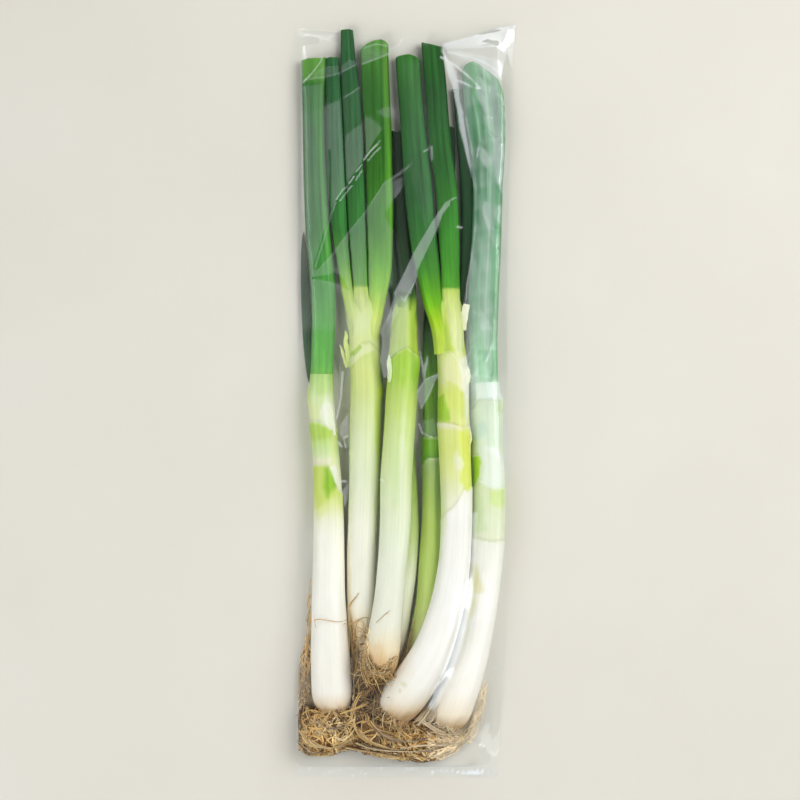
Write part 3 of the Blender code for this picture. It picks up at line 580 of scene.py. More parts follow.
def shank_mesh(number):
    rows = stations_line(SHANKS[number], 0.5)
    fine = (rows[:, 1] < 560) & (number not in (4, 5))
    gap = np.where(fine, 0.95, 2.1)
    gap[:12] = 0.8
    place_along = np.cumsum(0.5 / gap)
    rows = rows[np.unique(np.searchsorted(place_along, np.arange(0, place_along[-1])))]
    rows = np.vstack([np.array(SHANKS[number][:1], float), rows[1:]])
    cols = 57
    theta = around_stem(cols, 0.42)
    centre, _, side, up = frames_along(rows)
    a = (rows[:, 3] * PLAN)[:, None]
    b = (rows[:, 4] * MM)[:, None]
    cos, sin = np.cos(theta)[None, :], np.sin(theta)[None, :]
    along = np.concatenate([[0], np.cumsum(np.linalg.norm(np.diff(centre, axis=0), axis=1))])
    base = centre[:, None, :] + side[:, None, :] * (a * cos)[..., None] + up[:, None, :] * (b * sin)[..., None]
    u = base[..., 0] / PLAN + U0
    v = V0 - base[..., 1] / PLAN
    body = np.clip(a / (12 * PLAN), 0, 1)

    # Layers of sheath, each a little thicker than the one inside it.
    lift = np.zeros_like(u)
    tint = None
    around = theta[None, :] * 3.0
    for k, (edge, ragged, stops) in enumerate(LAYERS[number]):
        colour = ramp(v + 2.0 * wob(around * 1.7, v * 0.03, 70 * number + k, 3), stops)
        if edge is None:
            tint = colour
            continue
        line = (np.interp(u, [p[0] for p in edge], [p[1] for p in edge])
                + ragged * 0.5 * wob(around * 2.5, v * 0.02, 40 * number + k, 4)
                + 0.35 * wob(around * 8, v * 0.01, 90 * number + k, 2))
        over = smooth(v, line - 0.6, line + 0.6)
        tint = tint * (1 - over[..., None]) + colour * over[..., None]
        # A pale dry rim at the torn edge and a little shade just above it.
        rim = np.exp(-((v - line - 0.9) / 0.9) ** 2) * 0.30
        tint = tint * (1 - rim[..., None]) + lin(240, 242, 214) * rim[..., None]
        shade = np.exp(-((v - line + 1.6) / 1.3) ** 2) * 0.14
        tint = tint * (1 - shade[..., None])
        lift += over * (0.22 + 0.42 * np.exp(-np.clip(v - line, 0, None) / 7.0))
    for cu, cv, hu, hv, high in FLARES.get(number, []):
        lift += high * np.exp(-((u - cu) / hu) ** 2 - ((v - cv) / hv) ** 2)
    tint = paint_patches(tint, u, v, PATCHES.get(number, []), 300 * number)
    for k, (points, soft, rgb, strength) in enumerate(FACETS.get(number, [])):
        jitter = 0.8 * wob(u * 0.5, v * 0.4, 210 * number + k, 3)
        w = strength * inside_soft(u + jitter, v - jitter, points, soft)[..., None]
        tint = tint * (1 - w) + lin(*rgb) * w

    # Fine ribs, slow swells and flats, and the brown ring at the root plate.
    ribs = 0.05 * np.sin(theta * 26 + 2 * wob(v * 0.02, theta[None, :] * 0 + number, number, 2)) * body
    swell = 0.28 * wob(theta[None, :] * 1.4, v * 0.035, 7 * number, 3) * body
    lift = lift * 0.8 + ribs + swell - 0.25
    end = smooth(v, v.max() - 15, v.max())
    spots = smooth(wob(theta[None, :] * 13, v * 0.42, 11 * number, 3), 0.02, 0.6) * end
    tint = tint * (1 - 0.6 * spots[..., None]) + lin(176, 134, 84) * (0.6 * spots[..., None])
    streak = 0.5 + 0.5 * wob(theta[None, :] * 7, v * 0.012, 17 * number, 3)
    tint = tint * (1 - 0.05 * streak[..., None])
    normal = side[:, None, :] * cos[..., None] + up[:, None, :] * sin[..., None]
    verts = base + normal * (lift * MM)[..., None]
    verts[..., 2] = np.maximum(verts[..., 2], 0.45 * MM)
    uv = np.stack(np.broadcast_arrays(theta[None, :] / TAU, along[:, None]), axis=-1)
    return mesh_object(f"plant_{number}_shank", verts, grid_quads(len(rows), cols), uv, tint)


# -------------------------------------------------------------------- leaves
# Stations as for the shanks, from inside the shank to past the cut, then the
# outline of the cut on the plan, the colours along v, and the wall in mm.
LEAVES = {
    "plant_1_leaf_a": dict(
        node="onion_1_leaf_a", cut=[(300, 60.5), (308, 58), (326, 57.2)], wall=0.7,
        rows=[(321.4, 396, 9.9, 10.6, 6.6), (321.6, 376, 9.6, 11.2, 6.6), (322.5, 345, 9.0, 11.5, 6.0),
              (323, 300, 8.4, 11.9, 5.4), (320.5, 260, 8.0, 12.3, 5.0), (317.2, 220, 7.6, 12.1, 4.8),
              (315.3, 180, 7.2, 11.6, 4.6), (314, 140, 7.0, 11.2, 4.4), (313.3, 100, 6.8, 11.4, 4.2),
              (313.2, 48, 6.2, 12.6, 3.5)],
        stops=[(396, (150, 200, 90)), (375, (116, 188, 70)), (366, (94, 176, 62)), (340, (84, 166, 62)),
               (290, (72, 150, 60)), (230, (56, 124, 52)), (150, (50, 114, 50)), (84, (44, 110, 40)), (78, (84, 142, 52)), (56, (92, 152, 56))],
        streaks=[(0.62, 0.16, (120, 190, 96), 0.4), (0.9, 0.1, (84, 150, 60), 0.4)]),
    "plant_1_leaf_b": dict(
        node="onion_1_leaf_b", cut=None, wall=0.0,
        rows=[(314, 388, 5.0, 2.4, 1.4), (310, 374, 3.1, 3.6, 1.3), (307, 330, 2.5, 5.0, 1.3),
              (305, 290, 2.3, 4.8, 1.2), (303.8, 255, 2.1, 3.2, 1.0), (303.3, 238, 2.0, 1.6, 0.7), (303.2, 231, 2.0, 0.3, 0.3)],
        stops=[(388, (70, 110, 64)), (340, (44, 84, 54)), (260, (34, 68, 42))]),
    "plant_2_leaf_a": dict(
        node="onion_2_leaf_a", cut=[(324, 57.5), (339, 56.5)], wall=0.65,
        rows=[(356.0, 338, 11.4, 6.4, 7.0), (353.8, 322, 11.6, 6.8, 7.4), (350.9, 306, 11.2, 6.4, 6.0),
              (347.5, 290, 10.2, 6.3, 4.5), (344, 265, 9.4, 6.7, 4.0), (340.9, 240, 9.0, 7.4, 3.9),
              (337.5, 200, 8.6, 8.4, 3.8), (334.9, 150, 8.0, 8.5, 3.7), (333.5, 100, 6.6, 8.2, 3.5),
              (331.8, 48, 5.2, 6.6, 2.9)],
        stops=[(332, (216, 232, 160)), (312, (206, 226, 132)), (294, (178, 210, 90)), (280, (132, 184, 66)),
               (262, (88, 154, 54)), (230, (52, 122, 50)), (150, (38, 98, 50)), (60, (34, 92, 46))]),
    "plant_2_leaf_b": dict(
        node="onion_2_leaf_b", cut=[(340, 30), (344, 28.8), (353, 29)], wall=0.65,
        rows=[(364.4, 340, 12.0, 8.4, 8.4), (363.6, 322, 12.2, 8.6, 8.2), (361.9, 304, 12.0, 8.2, 6.6),
              (360.7, 286, 11.2, 7.4, 4.9), (359.4, 260, 10.8, 7.8, 4.2), (357.8, 240, 10.6, 8.4, 4.0),
              (356, 200, 10.0, 9.2, 3.8), (353.7, 150, 9.0, 9.5, 3.7), (351.7, 100, 7.4, 9.2, 3.5),
              (348.4, 60, 6.0, 7.6, 3.1), (346.3, 20, 4.6, 5.6, 2.5)],
        stops=[(340, (222, 236, 160)), (300, (216, 233, 146)), (288, (200, 224, 104)), (285.4, (106, 170, 54)),
               (265, (84, 152, 54)), (230, (54, 124, 50)), (150, (38, 98, 46)), (60, (32, 88, 44)), (30, (40, 92, 46))]),
    "plant_2_leaf_c": dict(
        node="onion_2_leaf_c", cut=[(360, 49.5), (364, 45), (371, 41), (380, 38.8), (385, 40), (389, 45)], wall=0.7,
        rows=[(371, 338, 11.6, 7.4, 7.6), (373.4, 322, 11.8, 8.2, 7.4), (375.8, 307, 11.6, 8.8, 6.2),
              (378, 290, 11.1, 9.8, 4.9), (379.5, 270, 11.0, 11.6, 4.7), (380, 240, 11.0, 12.4, 4.6),
              (379.7, 200, 10.8, 13.2, 4.6), (378.5, 140, 10.0, 13.2, 4.4), (376.5, 100, 8.6, 13.8, 4.2),
              (374.7, 60, 6.4, 14.0, 3.6), (374.8, 30, 5.2, 13.8, 3.2)],
        stops=[(338, (220, 234, 140)), (318, (208, 228, 92)), (304, (176, 212, 64)), (288, (136, 194, 48)),
               (264, (100, 170, 44)), (228, (68, 138, 38)), (170, (50, 116, 26)), (90, (44, 108, 28)), (60, (56, 120, 32)), (42, (78, 146, 34))],
        streaks=[(0.72, 0.2, (140, 204, 40), 0.35)]),
    # Onion 3's leaf: past the shank its colours turn almost black, dark green with painted shade where it lies beneath
    # the other leaves.
    "plant_3_leaf": dict(
        node="onion_3_leaf", cut=[(388, 130.5), (408, 131.5)], wall=0.5,
        rows=[(405.2, 322, 19.4, 10.4, 8.0), (405.6, 311, 18.6, 10.8, 7.2), (406.4, 301, 17.0, 10.4, 6.0),
              (407.4, 290, 14.0, 9.0, 4.4), (406.6, 274, 9.8, 7.8, 3.0), (402.5, 240, 6.2, 8.2, 2.7), (399.7, 200, 4.8, 8.6, 2.6),
              (398.8, 160, 4.4, 8.6, 2.5), (398.5, 124, 4.2, 8.2, 2.4)],
        stops=[(322, (176, 204, 70)), (309, (156, 188, 58)), (302, (112, 152, 40)), (296, (54, 92, 26)),
               (286, (26, 54, 20)), (270, (24, 52, 22)), (200, (16, 40, 20)), (130, (18, 42, 20))]),
    # Onion 4's leaf: its darkest colours are dark green with painted shade where it lies beneath the others.
    "plant_4_leaf": dict(
        node="onion_4_leaf", cut=[(368, 149), (392, 151)], wall=0.5, cols=25,
        rows=[(401.5, 345, 5.7, 6.0, 4.0), (401.2, 330, 5.5, 6.0, 3.6), (399, 310, 5.0, 6.9, 2.8),
              (395, 280, 4.4, 7.3, 2.4), (389.5, 250, 3.8, 6.9, 2.1), (383.5, 215, 3.3, 7.1, 2.0),
              (380.5, 175, 3.1, 7.1, 1.9), (379.5, 143, 3.0, 6.9, 1.8)],
        stops=[(345, (120, 150, 60)), (300, (44, 84, 40)), (150, (26, 62, 34))]),
    # Onion 5's leaf: above its shank the colours turn almost black, dark green with painted shade where it lies beneath
    # the others.
    "plant_5_leaf": dict(
        node="onion_5_leaf", cut=[(444, 125), (456, 127)], wall=0.5,
        rows=[(432.6, 452, 8.7, 9.6, 6.6), (432.2, 440, 8.4, 8.8, 5.9), (431.5, 400, 6.8, 8.2, 3.6),
              (431, 365, 5.6, 8.2, 3.0), (431.5, 330, 4.8, 8.2, 2.7), (434.5, 290, 4.2, 8.2, 2.5),
              (440, 245, 3.9, 8.0, 2.4), (446, 200, 3.7, 7.6, 2.3), (449.8, 160, 3.5, 5.8, 2.0),
              (450.3, 120, 3.4, 3.8, 1.8)],
        stops=[(452, (120, 176, 50)), (434, (134, 184, 80)), (420, (130, 182, 66)), (400, (124, 180, 36)), (360, (104, 168, 18)),
               (342, (70, 128, 18)), (322, (40, 84, 20)), (300, (28, 64, 22)), (200, (20, 50, 24)), (126, (22, 54, 28))]),
    "plant_6_leaf_a": dict(
        node="onion_6_leaf_a", cut=[(395, 58), (399, 55.5), (407, 54), (415, 55.5), (421, 59.5)], wall=0.7,
        rows=[(443.6, 354, 17.9, 9.4, 8.6), (441.8, 338, 17.6, 9.2, 8.6), (438.8, 322, 16.9, 9.4, 7.8),
              (433.8, 304, 15.0, 10.0, 5.8), (430.3, 285, 13.2, 11.2, 5.1), (427.3, 265, 12.2, 12.4, 4.8),
              (423.6, 240, 11.4, 13.3, 4.6), (419.6, 200, 10.4, 14.2, 4.5), (416, 160, 9.8, 13.3, 4.4),
              (412.8, 120, 8.6, 12.5, 4.2), (410, 90, 7.4, 12.2, 4.0), (407.7, 46, 5.8, 12.4, 3.5)],
        stops=[(354, (196, 220, 74)), (338, (186, 216, 58)), (322, (164, 208, 30)), (304, (112, 184, 10)),
               (290, (86, 160, 20)), (270, (62, 134, 34)), (245, (46, 112, 40)), (200, (36, 94, 42)), (120, (36, 98, 38)), (56, (42, 108, 30))]),
    "plant_6_leaf_b": dict(
        node="onion_6_leaf_b", cut=[(420, 42.8), (423, 42), (441, 46)], wall=0.65,
        rows=[(453.6, 352, 18.4, 10.4, 9.0), (453.8, 336, 18.2, 10.2, 9.0), (453.0, 320, 17.4, 10.0, 8.2),
              (451, 302, 15.6, 9.2, 6.0), (450.4, 288, 14.4, 9.3, 5.5), (450, 270, 13.2, 9.2, 5.0),
              (449.2, 250, 12.2, 9.7, 4.7), (447, 200, 10.8, 11.0, 4.5), (440.8, 150, 9.8, 11.0, 4.3),
              (437.3, 110, 8.6, 11.0, 4.1), (435.1, 80, 7.2, 11.0, 3.9), (430.8, 34, 5.4, 10.0, 3.3)],
        stops=[(352, (228, 240, 172)), (320, (226, 238, 160)), (300, (214, 232, 134)), (290, (196, 222, 104)),
               (287.6, (84, 164, 40)), (268, (68, 152, 36)), (230, (56, 136, 38)), (170, (38, 102, 36)),
               (100, (30, 86, 34)), (66, (24, 84, 20)), (44, (28, 88, 26))]),
    # This leaf's darkest colours are dark green with painted shade where it lies beneath the others.
    "plant_6_leaf_c": dict(
        node="onion_6_leaf_c", cut=[(450, 88), (464, 88.5)], wall=0.5, cols=25,
        rows=[(457.5, 340, 12.0, 3.4, 2.6), (459.2, 322, 9.9, 4.2, 2.6), (462.5, 300, 8.2, 5.5, 2.5),
              (466, 270, 6.5, 6.6, 2.5), (468, 235, 5.4, 7.2, 2.4), (468, 200, 4.8, 7.4, 2.4),
              (465, 155, 4.3, 6.8, 2.3), (461, 118, 4.0, 5.8, 2.1), (457.6, 82, 3.8, 5.4, 2.0)],
        stops=[(340, (70, 100, 40)), (300, (26, 58, 28)), (230, (28, 72, 36)), (150, (32, 76, 42)), (88, (38, 84, 48))]),
    # Onion 7's leaf: its bluish mint colours and pale mint stripes are the leaf's green partly mixed with painted film
    # glare.
    "plant_7_leaf": dict(
        node="onion_7_leaf", cut=[(458, 74), (462, 70), (466, 63.5), (474, 60.5), (482, 66), (490, 72), (498, 78.5), (503, 90), (507, 104)], wall=0.7,
        rows=[(484.6, 408, 12.0, 13.2, 9.0), (484.4, 392, 12.3, 13.6, 8.2), (484, 380, 12.5, 14.0, 7.2),
              (483, 350, 12.0, 14.6, 6.0), (483.2, 300, 11.0, 15.4, 5.4), (485.5, 260, 10.2, 14.6, 5.2),
              (487.5, 220, 9.6, 14.4, 5.0), (488.5, 180, 9.0, 15.0, 4.8), (487.5, 140, 8.2, 18.6, 4.4),
              (485.3, 115, 7.4, 20.6, 4.0), (483.3, 92, 6.6, 20.4, 3.7), (481.5, 72, 5.9, 19.4, 3.4), (480.5, 50, 5.2, 18.6, 3.2)],
        stops=[(408, (214, 236, 206)), (388, (210, 238, 214)), (382, (180, 222, 186)), (374, (130, 190, 140)),
               (330, (106, 172, 118)), (260, (90, 156, 108)), (180, (78, 140, 98)), (100, (82, 142, 98)), (62, (104, 166, 106))],
        streaks=[(0.1, 0.14, (196, 232, 206), 0.55), (0.34, 0.1, (170, 216, 186), 0.4), (-0.35, 0.16, (160, 208, 172), 0.3),
                 (0.95, 0.12, (90, 158, 80), 0.6), (-0.75, 0.12, (84, 144, 108), 0.4)],
        marks=[(484, 92, 1.0, 3.2), (484.5, 112, 1.0, 4.4), (491, 133, 1.0, 4.0), (497.5, 142, 2.2, 1.6), (495, 160, 0.8, 3.4),
               (481.5, 74, 1.0, 6.5), (498, 137, 1.2, 1.6)]),
}


def leaf_mesh(name, spec, seed):
    rows = stations_line(spec["rows"], 2.2)
    cols = spec.get("cols", 37)
    theta = around_stem(cols, 0.36)
    centre, _, side, up = frames_along(rows)
    a = (rows[:, 3] * PLAN)[:, None]
    b = (rows[:, 4] * MM)[:, None]
    cos, sin = np.cos(theta)[None, :], np.sin(theta)[None, :]
    # Flattened tubes have fuller shoulders than an ellipse.
    cos_f = np.sign(cos) * np.abs(cos) ** 0.9
    sin_f = np.sign(sin) * np.abs(sin) ** 0.82
    v_row = rows[:, 1][:, None]
    away = smooth(np.arange(len(rows)), 6, 30)[:, None]
    dent = 0.45 * wob(theta[None, :] * 1.2, v_row * 0.03, seed, 3) * away
    ridge = 0.12 * np.sin(theta * 14 + wob(v_row * 0.01, v_row * 0, seed + 3, 2) * 2) * away
    lift = (dent + ridge) * MM * np.clip(b / (3 * MM), 0.1, 1)
    normal = side[:, None, :] * cos[..., None] + up[:, None, :] * sin[..., None]
    outer = (centre[:, None, :] + side[:, None, :] * (a * cos_f)[..., None]
             + up[:, None, :] * (b * sin_f)[..., None] + normal * lift[..., None])
    outer[..., 2] = np.maximum(outer[..., 2], 0.5 * MM)
    u = outer[..., 0] / PLAN + U0
    v = V0 - outer[..., 1] / PLAN

    if spec["cut"]:
        # Each lengthwise line stops where it meets the cut.
        cut_u, cut_v = zip(*spec["cut"])
        jag = 0.5 * wob(u * 0.9, u * 0, seed + 8, 2)
        past = v < np.interp(u, cut_u, cut_v) + jag
        stop = np.where(past.any(0), past.argmax(0), len(rows) - 1).astype(float)
        for j in range(cols):
            k = int(stop[j])
            if 0 < k and past[k, j]:
                gap0 = v[k - 1, j] - (np.interp(u[k - 1, j], cut_u, cut_v) + jag[k - 1, j])
                gap1 = v[k, j] - (np.interp(u[k, j], cut_u, cut_v) + jag[k, j])
                stop[j] = k - 1 + gap0 / (gap0 - gap1)
        stop[-1] = stop[0]
        share = np.linspace(0, 1, len(rows))[:, None] * stop[None, :]
        low = np.clip(np.floor(share).astype(int), 0, len(rows) - 2)
        frac = (share - low)[..., None]
        column = np.broadcast_to(np.arange(cols)[None, :], low.shape)
        inner_all = (centre[:, None, :] + side[:, None, :] * ((a - spec["wall"] * MM) * cos_f)[..., None]
                     + up[:, None, :] * ((b - spec["wall"] * MM) * sin_f)[..., None]
                     + normal * lift[..., None])
        outer = outer[low, column] * (1 - frac) + outer[low + 1, column] * frac
        inner = inner_all[low, column] * (1 - frac) + inner_all[low + 1, column] * frac
        u = outer[..., 0] / PLAN + U0
        v = V0 - outer[..., 1] / PLAN

    tint = ramp(v, spec["stops"])
    # Painted shade: the leaf's flanks, where the tube turns away from the light, are up to 12% darker.
    edge = np.abs(cos) ** 6
    tint = tint * (1 - 0.12 * edge[..., None])
    tone = 1 + 0.17 * wob(theta[None, :] * 6, v * 0.008, seed + 5, 3) + 0.07 * wob(theta[None, :] * 1.5, v * 0.06, seed + 6, 3)
    tint = tint * tone[..., None]
    for x, width, rgb, strength in spec.get("streaks", []):
        w = strength * np.exp(-((cos - x) / width) ** 2) * (sin > 0) * (0.75 + 0.25 * wob(v * 0.03, theta[None, :], seed + 9, 2))
        tint = tint * (1 - w[..., None]) + lin(*rgb) * w[..., None]
    for cu, cv, hu, hv in spec.get("marks", []):
        w = 0.75 * np.exp(-((u - cu - 0.8 * np.sin(v)) / hu) ** 2 - ((v - cv) / hv) ** 2)
        tint = tint * (1 - w[..., None]) + lin(40, 88, 62) * w[..., None]
    along = np.concatenate([[0], np.cumsum(np.linalg.norm(np.diff(centre, axis=0), axis=1))])
    uv = np.stack(np.broadcast_arrays(theta[None, :] / TAU, along[:, None]), axis=-1)
    parts = [(outer, grid_quads(len(rows), cols), uv, tint)]
    if spec["cut"]:
        first = int(len(rows) * 0.7)
        lining = inner[first:][::-1]
        # Painted shade: the lining inside the hollow, and the pith skin that closes it, are a darker copy of the outer
        # colours.
        pale = ramp(V0 - lining[..., 1] / PLAN, spec["stops"]) * 0.75 + 0.02
        parts.append((lining, grid_quads(len(lining), cols), uv[first:][::-1], pale))
        rim = np.stack([outer[-1], 0.5 * (outer[-1] + inner[-1]) + [0, 0.15 * MM, 0], inner[-1]])
        rim_tint = np.broadcast_to(lin(168, 200, 120), rim.shape)
        parts.append((rim, grid_quads(3, cols), np.stack([uv[-1]] * 3), rim_tint))
        # A pith skin closes the hollow further down.
        hub = lining[-1].mean(0)
        plug = np.stack([lining[-1], lining[-1] * 0.5 + hub * 0.5, np.broadcast_to(hub, lining[-1].shape)])
        parts.append((plug, grid_quads(3, cols), np.stack([uv[first]] * 3), pale[-1][None].repeat(3, 0)))
    verts, quads, uvs, tints = add_parts(parts)
    return mesh_object(name, verts, quads, uvs, tints)


# ------------------------------------------------------- torn scraps of sheath
# Thin curled strips, 0.22 mm thick: (rows of (u, v, height, half width), sRGB at
# the foot and at the tip, curl in mm)
SCRAPS = {
    "plant_2_scrap_a": ([(351.5, 362, 14.5, 5.0), (348.5, 352, 14.5, 3.6), (345.5, 342, 14.0, 2.0), (346.5, 336, 14.2, 1.8), (345, 331, 14.6, 0.5)], (206, 226, 118), (222, 234, 150), 0.8),
    "plant_2_scrap_b": ([(349.5, 366, 13.2, 4.0), (344.5, 357, 12.6, 2.4), (341.5, 349, 12.4, 1.1), (339.5, 345, 12.2, 0.3)], (210, 228, 126), (226, 234, 168), 0.5),
    "plant_6_scrap_a": ([(461, 330, 22.0, 4.4), (463.5, 318, 21.8, 4.6), (465.5, 309, 21.4, 4.0), (466.5, 304.5, 21.2, 3.2)], (236, 240, 196), (242, 244, 214), 0.9),
    "plant_6_scrap_b": ([(463.5, 388, 25.4, 4.4), (466, 378, 25.2, 3.6), (468, 371, 24.6, 1.8), (467.5, 367, 24.2, 0.4)], (232, 238, 184), (238, 240, 200), 0.7),
    "plant_6_scrap_c": ([(465.5, 452, 26.4, 4.2), (468, 440, 26.0, 3.2), (469.5, 432, 25.4, 1.6), (468.5, 428, 25.0, 0.4)], (222, 232, 120), (236, 238, 176), 0.7),
    "plant_7_scrap_a": ([(497, 413, 18.4, 3.6), (500, 405, 17.4, 2.6), (502, 399, 16.6, 0.5)], (214, 232, 172), (230, 240, 200), 0.6),
    "plant_1_scrap_a": ([(331, 436, 17.0, 5.6), (328.5, 424, 17.6, 6.4), (326.5, 412, 17.6, 6.0), (325.5, 404, 17.4, 3.6), (325, 400, 17.2, 0.6)], (236, 243, 214), (240, 245, 222), 0.6),
    "plant_3_scrap_a": ([(392.5, 382, 28.6, 4.0), (391, 371, 28.6, 3.6), (389.5, 362, 28.0, 2.4), (389, 355, 27.6, 0.5)], (214, 235, 176), (222, 240, 196), 0.6),
}


def scrap_mesh(name, rows, foot, tip, curl):
    rows = stations_line(rows, 0.7)
    cols = 13
    x = np.linspace(-1, 1, cols)[None, :]
    centre, _, side, up = frames_along(rows)
    n = len(rows)
    t = np.linspace(0, 1, n)[:, None]
    a = (rows[:, 3] * PLAN)[:, None]
    seed = sum(ord(c) for c in name)
    z = (curl * (0.7 * t ** 2 - 0.9 * x ** 2 * (1 - 0.4 * t)) + 0.22 * wob(x * 2.5, t * 5, seed, 3)) * MM
    edge = 1 + 0.16 * wob(t * 12, t * 0, seed + 1, 2)
    top = centre[:, None, :] + side[:, None, :] * (a * x * edge)[..., None] + up[:, None, :] * z[..., None]
    low = top - up[:, None, :] * (0.22 * MM)
    tint = lin(*foot) * (1 - t[..., None]) + lin(*tip) * t[..., None] + np.zeros((n, cols, 1))
    tint = tint * (1 + 0.05 * wob(x * 6, t * 2, seed + 2, 2))[..., None]
    uv = np.stack(np.broadcast_arrays(x * 0.2, t * 0.02), axis=-1)
    rim_a = np.stack([top[:, 0], low[:, 0]])
    rim_b = np.stack([low[:, -1], top[:, -1]])
    rim_c = np.stack([low[-1], top[-1]])
    parts = [(top, grid_quads(n, cols), uv, tint), (low[:, ::-1], grid_quads(n, cols), uv[:, ::-1], tint[:, ::-1]),
             (rim_a, grid_quads(2, n), np.stack([uv[:, 0]] * 2), np.stack([tint[:, 0]] * 2)),
             (rim_b, grid_quads(2, n), np.stack([uv[:, -1]] * 2), np.stack([tint[:, -1]] * 2)),
             (rim_c, grid_quads(2, cols), np.stack([uv[-1]] * 2), np.stack([tint[-1]] * 2))]
    verts, quads, uvs, tints = add_parts(parts)
    return mesh_object(name, verts, quads, uvs, tints)


# --------------------------------------------------------------------- roots
class Strands:
    """Collects fine tubes and turns them into one mesh."""

    def __init__(self, seed):
        self.rng = np.random.default_rng(seed)
        self.parts = []

    def tube(self, path, radius, colour, sides=4):
        path = np.asarray(path, float)
        n = len(path)
        along = np.gradient(path, axis=0)
        along /= np.maximum(np.linalg.norm(along, axis=1), 1e-9)[:, None]
        ref = np.where(np.abs(along[:, 2:3]) > 0.9, [[1.0, 0, 0]], [[0, 0, 1.0]])
        side = np.cross(along, ref)
        side /= np.maximum(np.linalg.norm(side, axis=1), 1e-9)[:, None]
        up = np.cross(side, along)
        turn = np.arange(sides) * TAU / sides + self.rng.uniform(0, TAU)
        s = np.linspace(0, 1, n)
        thick = radius * (1 - 0.55 * s ** 2) * (1 + 0.10 * np.sin(s * 37 + turn[0]))
        ring = (side[:, None, :] * np.cos(turn)[None, :, None] + up[:, None, :] * np.sin(turn)[None, :, None])
        verts = path[:, None, :] + ring * thick[:, None, None]
        length = np.concatenate([[0], np.cumsum(np.linalg.norm(np.diff(path, axis=0), axis=1))])
        uv = np.stack(np.broadcast_arrays((np.arange(sides) / sides)[None, :] + turn[0],
                                          length[:, None] + turn[0]), axis=-1)
        shade = 1 - 0.30 * s ** 1.5
        tint = np.asarray(colour)[None, None, :] * shade[:, None, None] * np.ones((1, sides, 1))
        self.parts.append((verts, grid_quads(n, sides, 0, True), uv, tint))

    def walk(self, start, heading, length, step, stray, pull, keep):
        """A path that starts in a heading, bends in slow curls, leans on pull(point, share) and
        stays inside keep(point)."""
        point = np.array(start, float)
        d = np.array(heading, float)
        d /= np.linalg.norm(d)
        bend = self.rng.normal(0, 1) * stray
        lift = self.rng.normal(0, 1) * stray * 0.6
        path = [point.copy()]
        count = max(int(length / step), 4)
        for k in range(count):
            bend = 0.90 * bend + 0.42 * stray * self.rng.normal()
            lift = 0.88 * lift + 0.40 * stray * self.rng.normal()
            d = d + np.array([-d[1] * bend, d[0] * bend, lift]) + pull(point, k / count)
            d /= np.linalg.norm(d)
            wanted = point + d * step
            point = keep(wanted)
            if abs(point[0] - wanted[0]) > 1e-6:
                d[0] *= -0.6
            if abs(point[1] - wanted[1]) > 1e-6:
                d[1] *= -0.2
            path.append(point.copy())
        return path

    def build(self, name):
        verts, quads, uvs, tints = add_parts(self.parts)
        return mesh_object(name, verts, quads, uvs, tints)


TANS = [lin(*c) for c in ((236, 200, 134), (218, 176, 106), (248, 220, 162), (198, 152, 88), (226, 186, 114),
                          (156, 114, 64), (250, 230, 184), (118, 82, 46), (232, 194, 124), (240, 206, 140))]
TANS = [0.84 * c for c in TANS]
# A cream that strands are blended towards: partly the pale colour of real roots, partly painted haze of the film's
# glare over the right-hand roots.
CREAM_AND_HAZE = lin(250, 240, 216)


def smooth_path(path, rounds=2):
    p = np.array(path)
    for _ in range(rounds):
        p[1:-1] = 0.25 * p[:-2] + 0.5 * p[1:-1] + 0.25 * p[2:]
    return p


def blob(u_low, u_high, v_low, v_high, z_low, z_high, fall):
    """A keep-inside function for a rounded block of roots that is lower at its far end."""
    lo = at(u_low, v_high, z_low)
    hi = at(u_high, v_low, z_high)

    def keep(p):
        q = p.copy()
        q[0] = min(max(q[0], lo[0]), hi[0])
        q[1] = min(max(q[1], lo[1]), hi[1])
        share = (hi[1] - q[1]) / (hi[1] - lo[1])
        across = (q[0] - lo[0]) / (hi[0] - lo[0])
        top = lo[2] + (hi[2] - lo[2]) * (1 - fall * share) * min(1.0, 0.35 + 4.2 * across * (1 - across) * 0.9 + 0.1)
        q[2] = min(max(q[2], lo[2]), max(top, lo[2] + MM))
        return q
    return keep


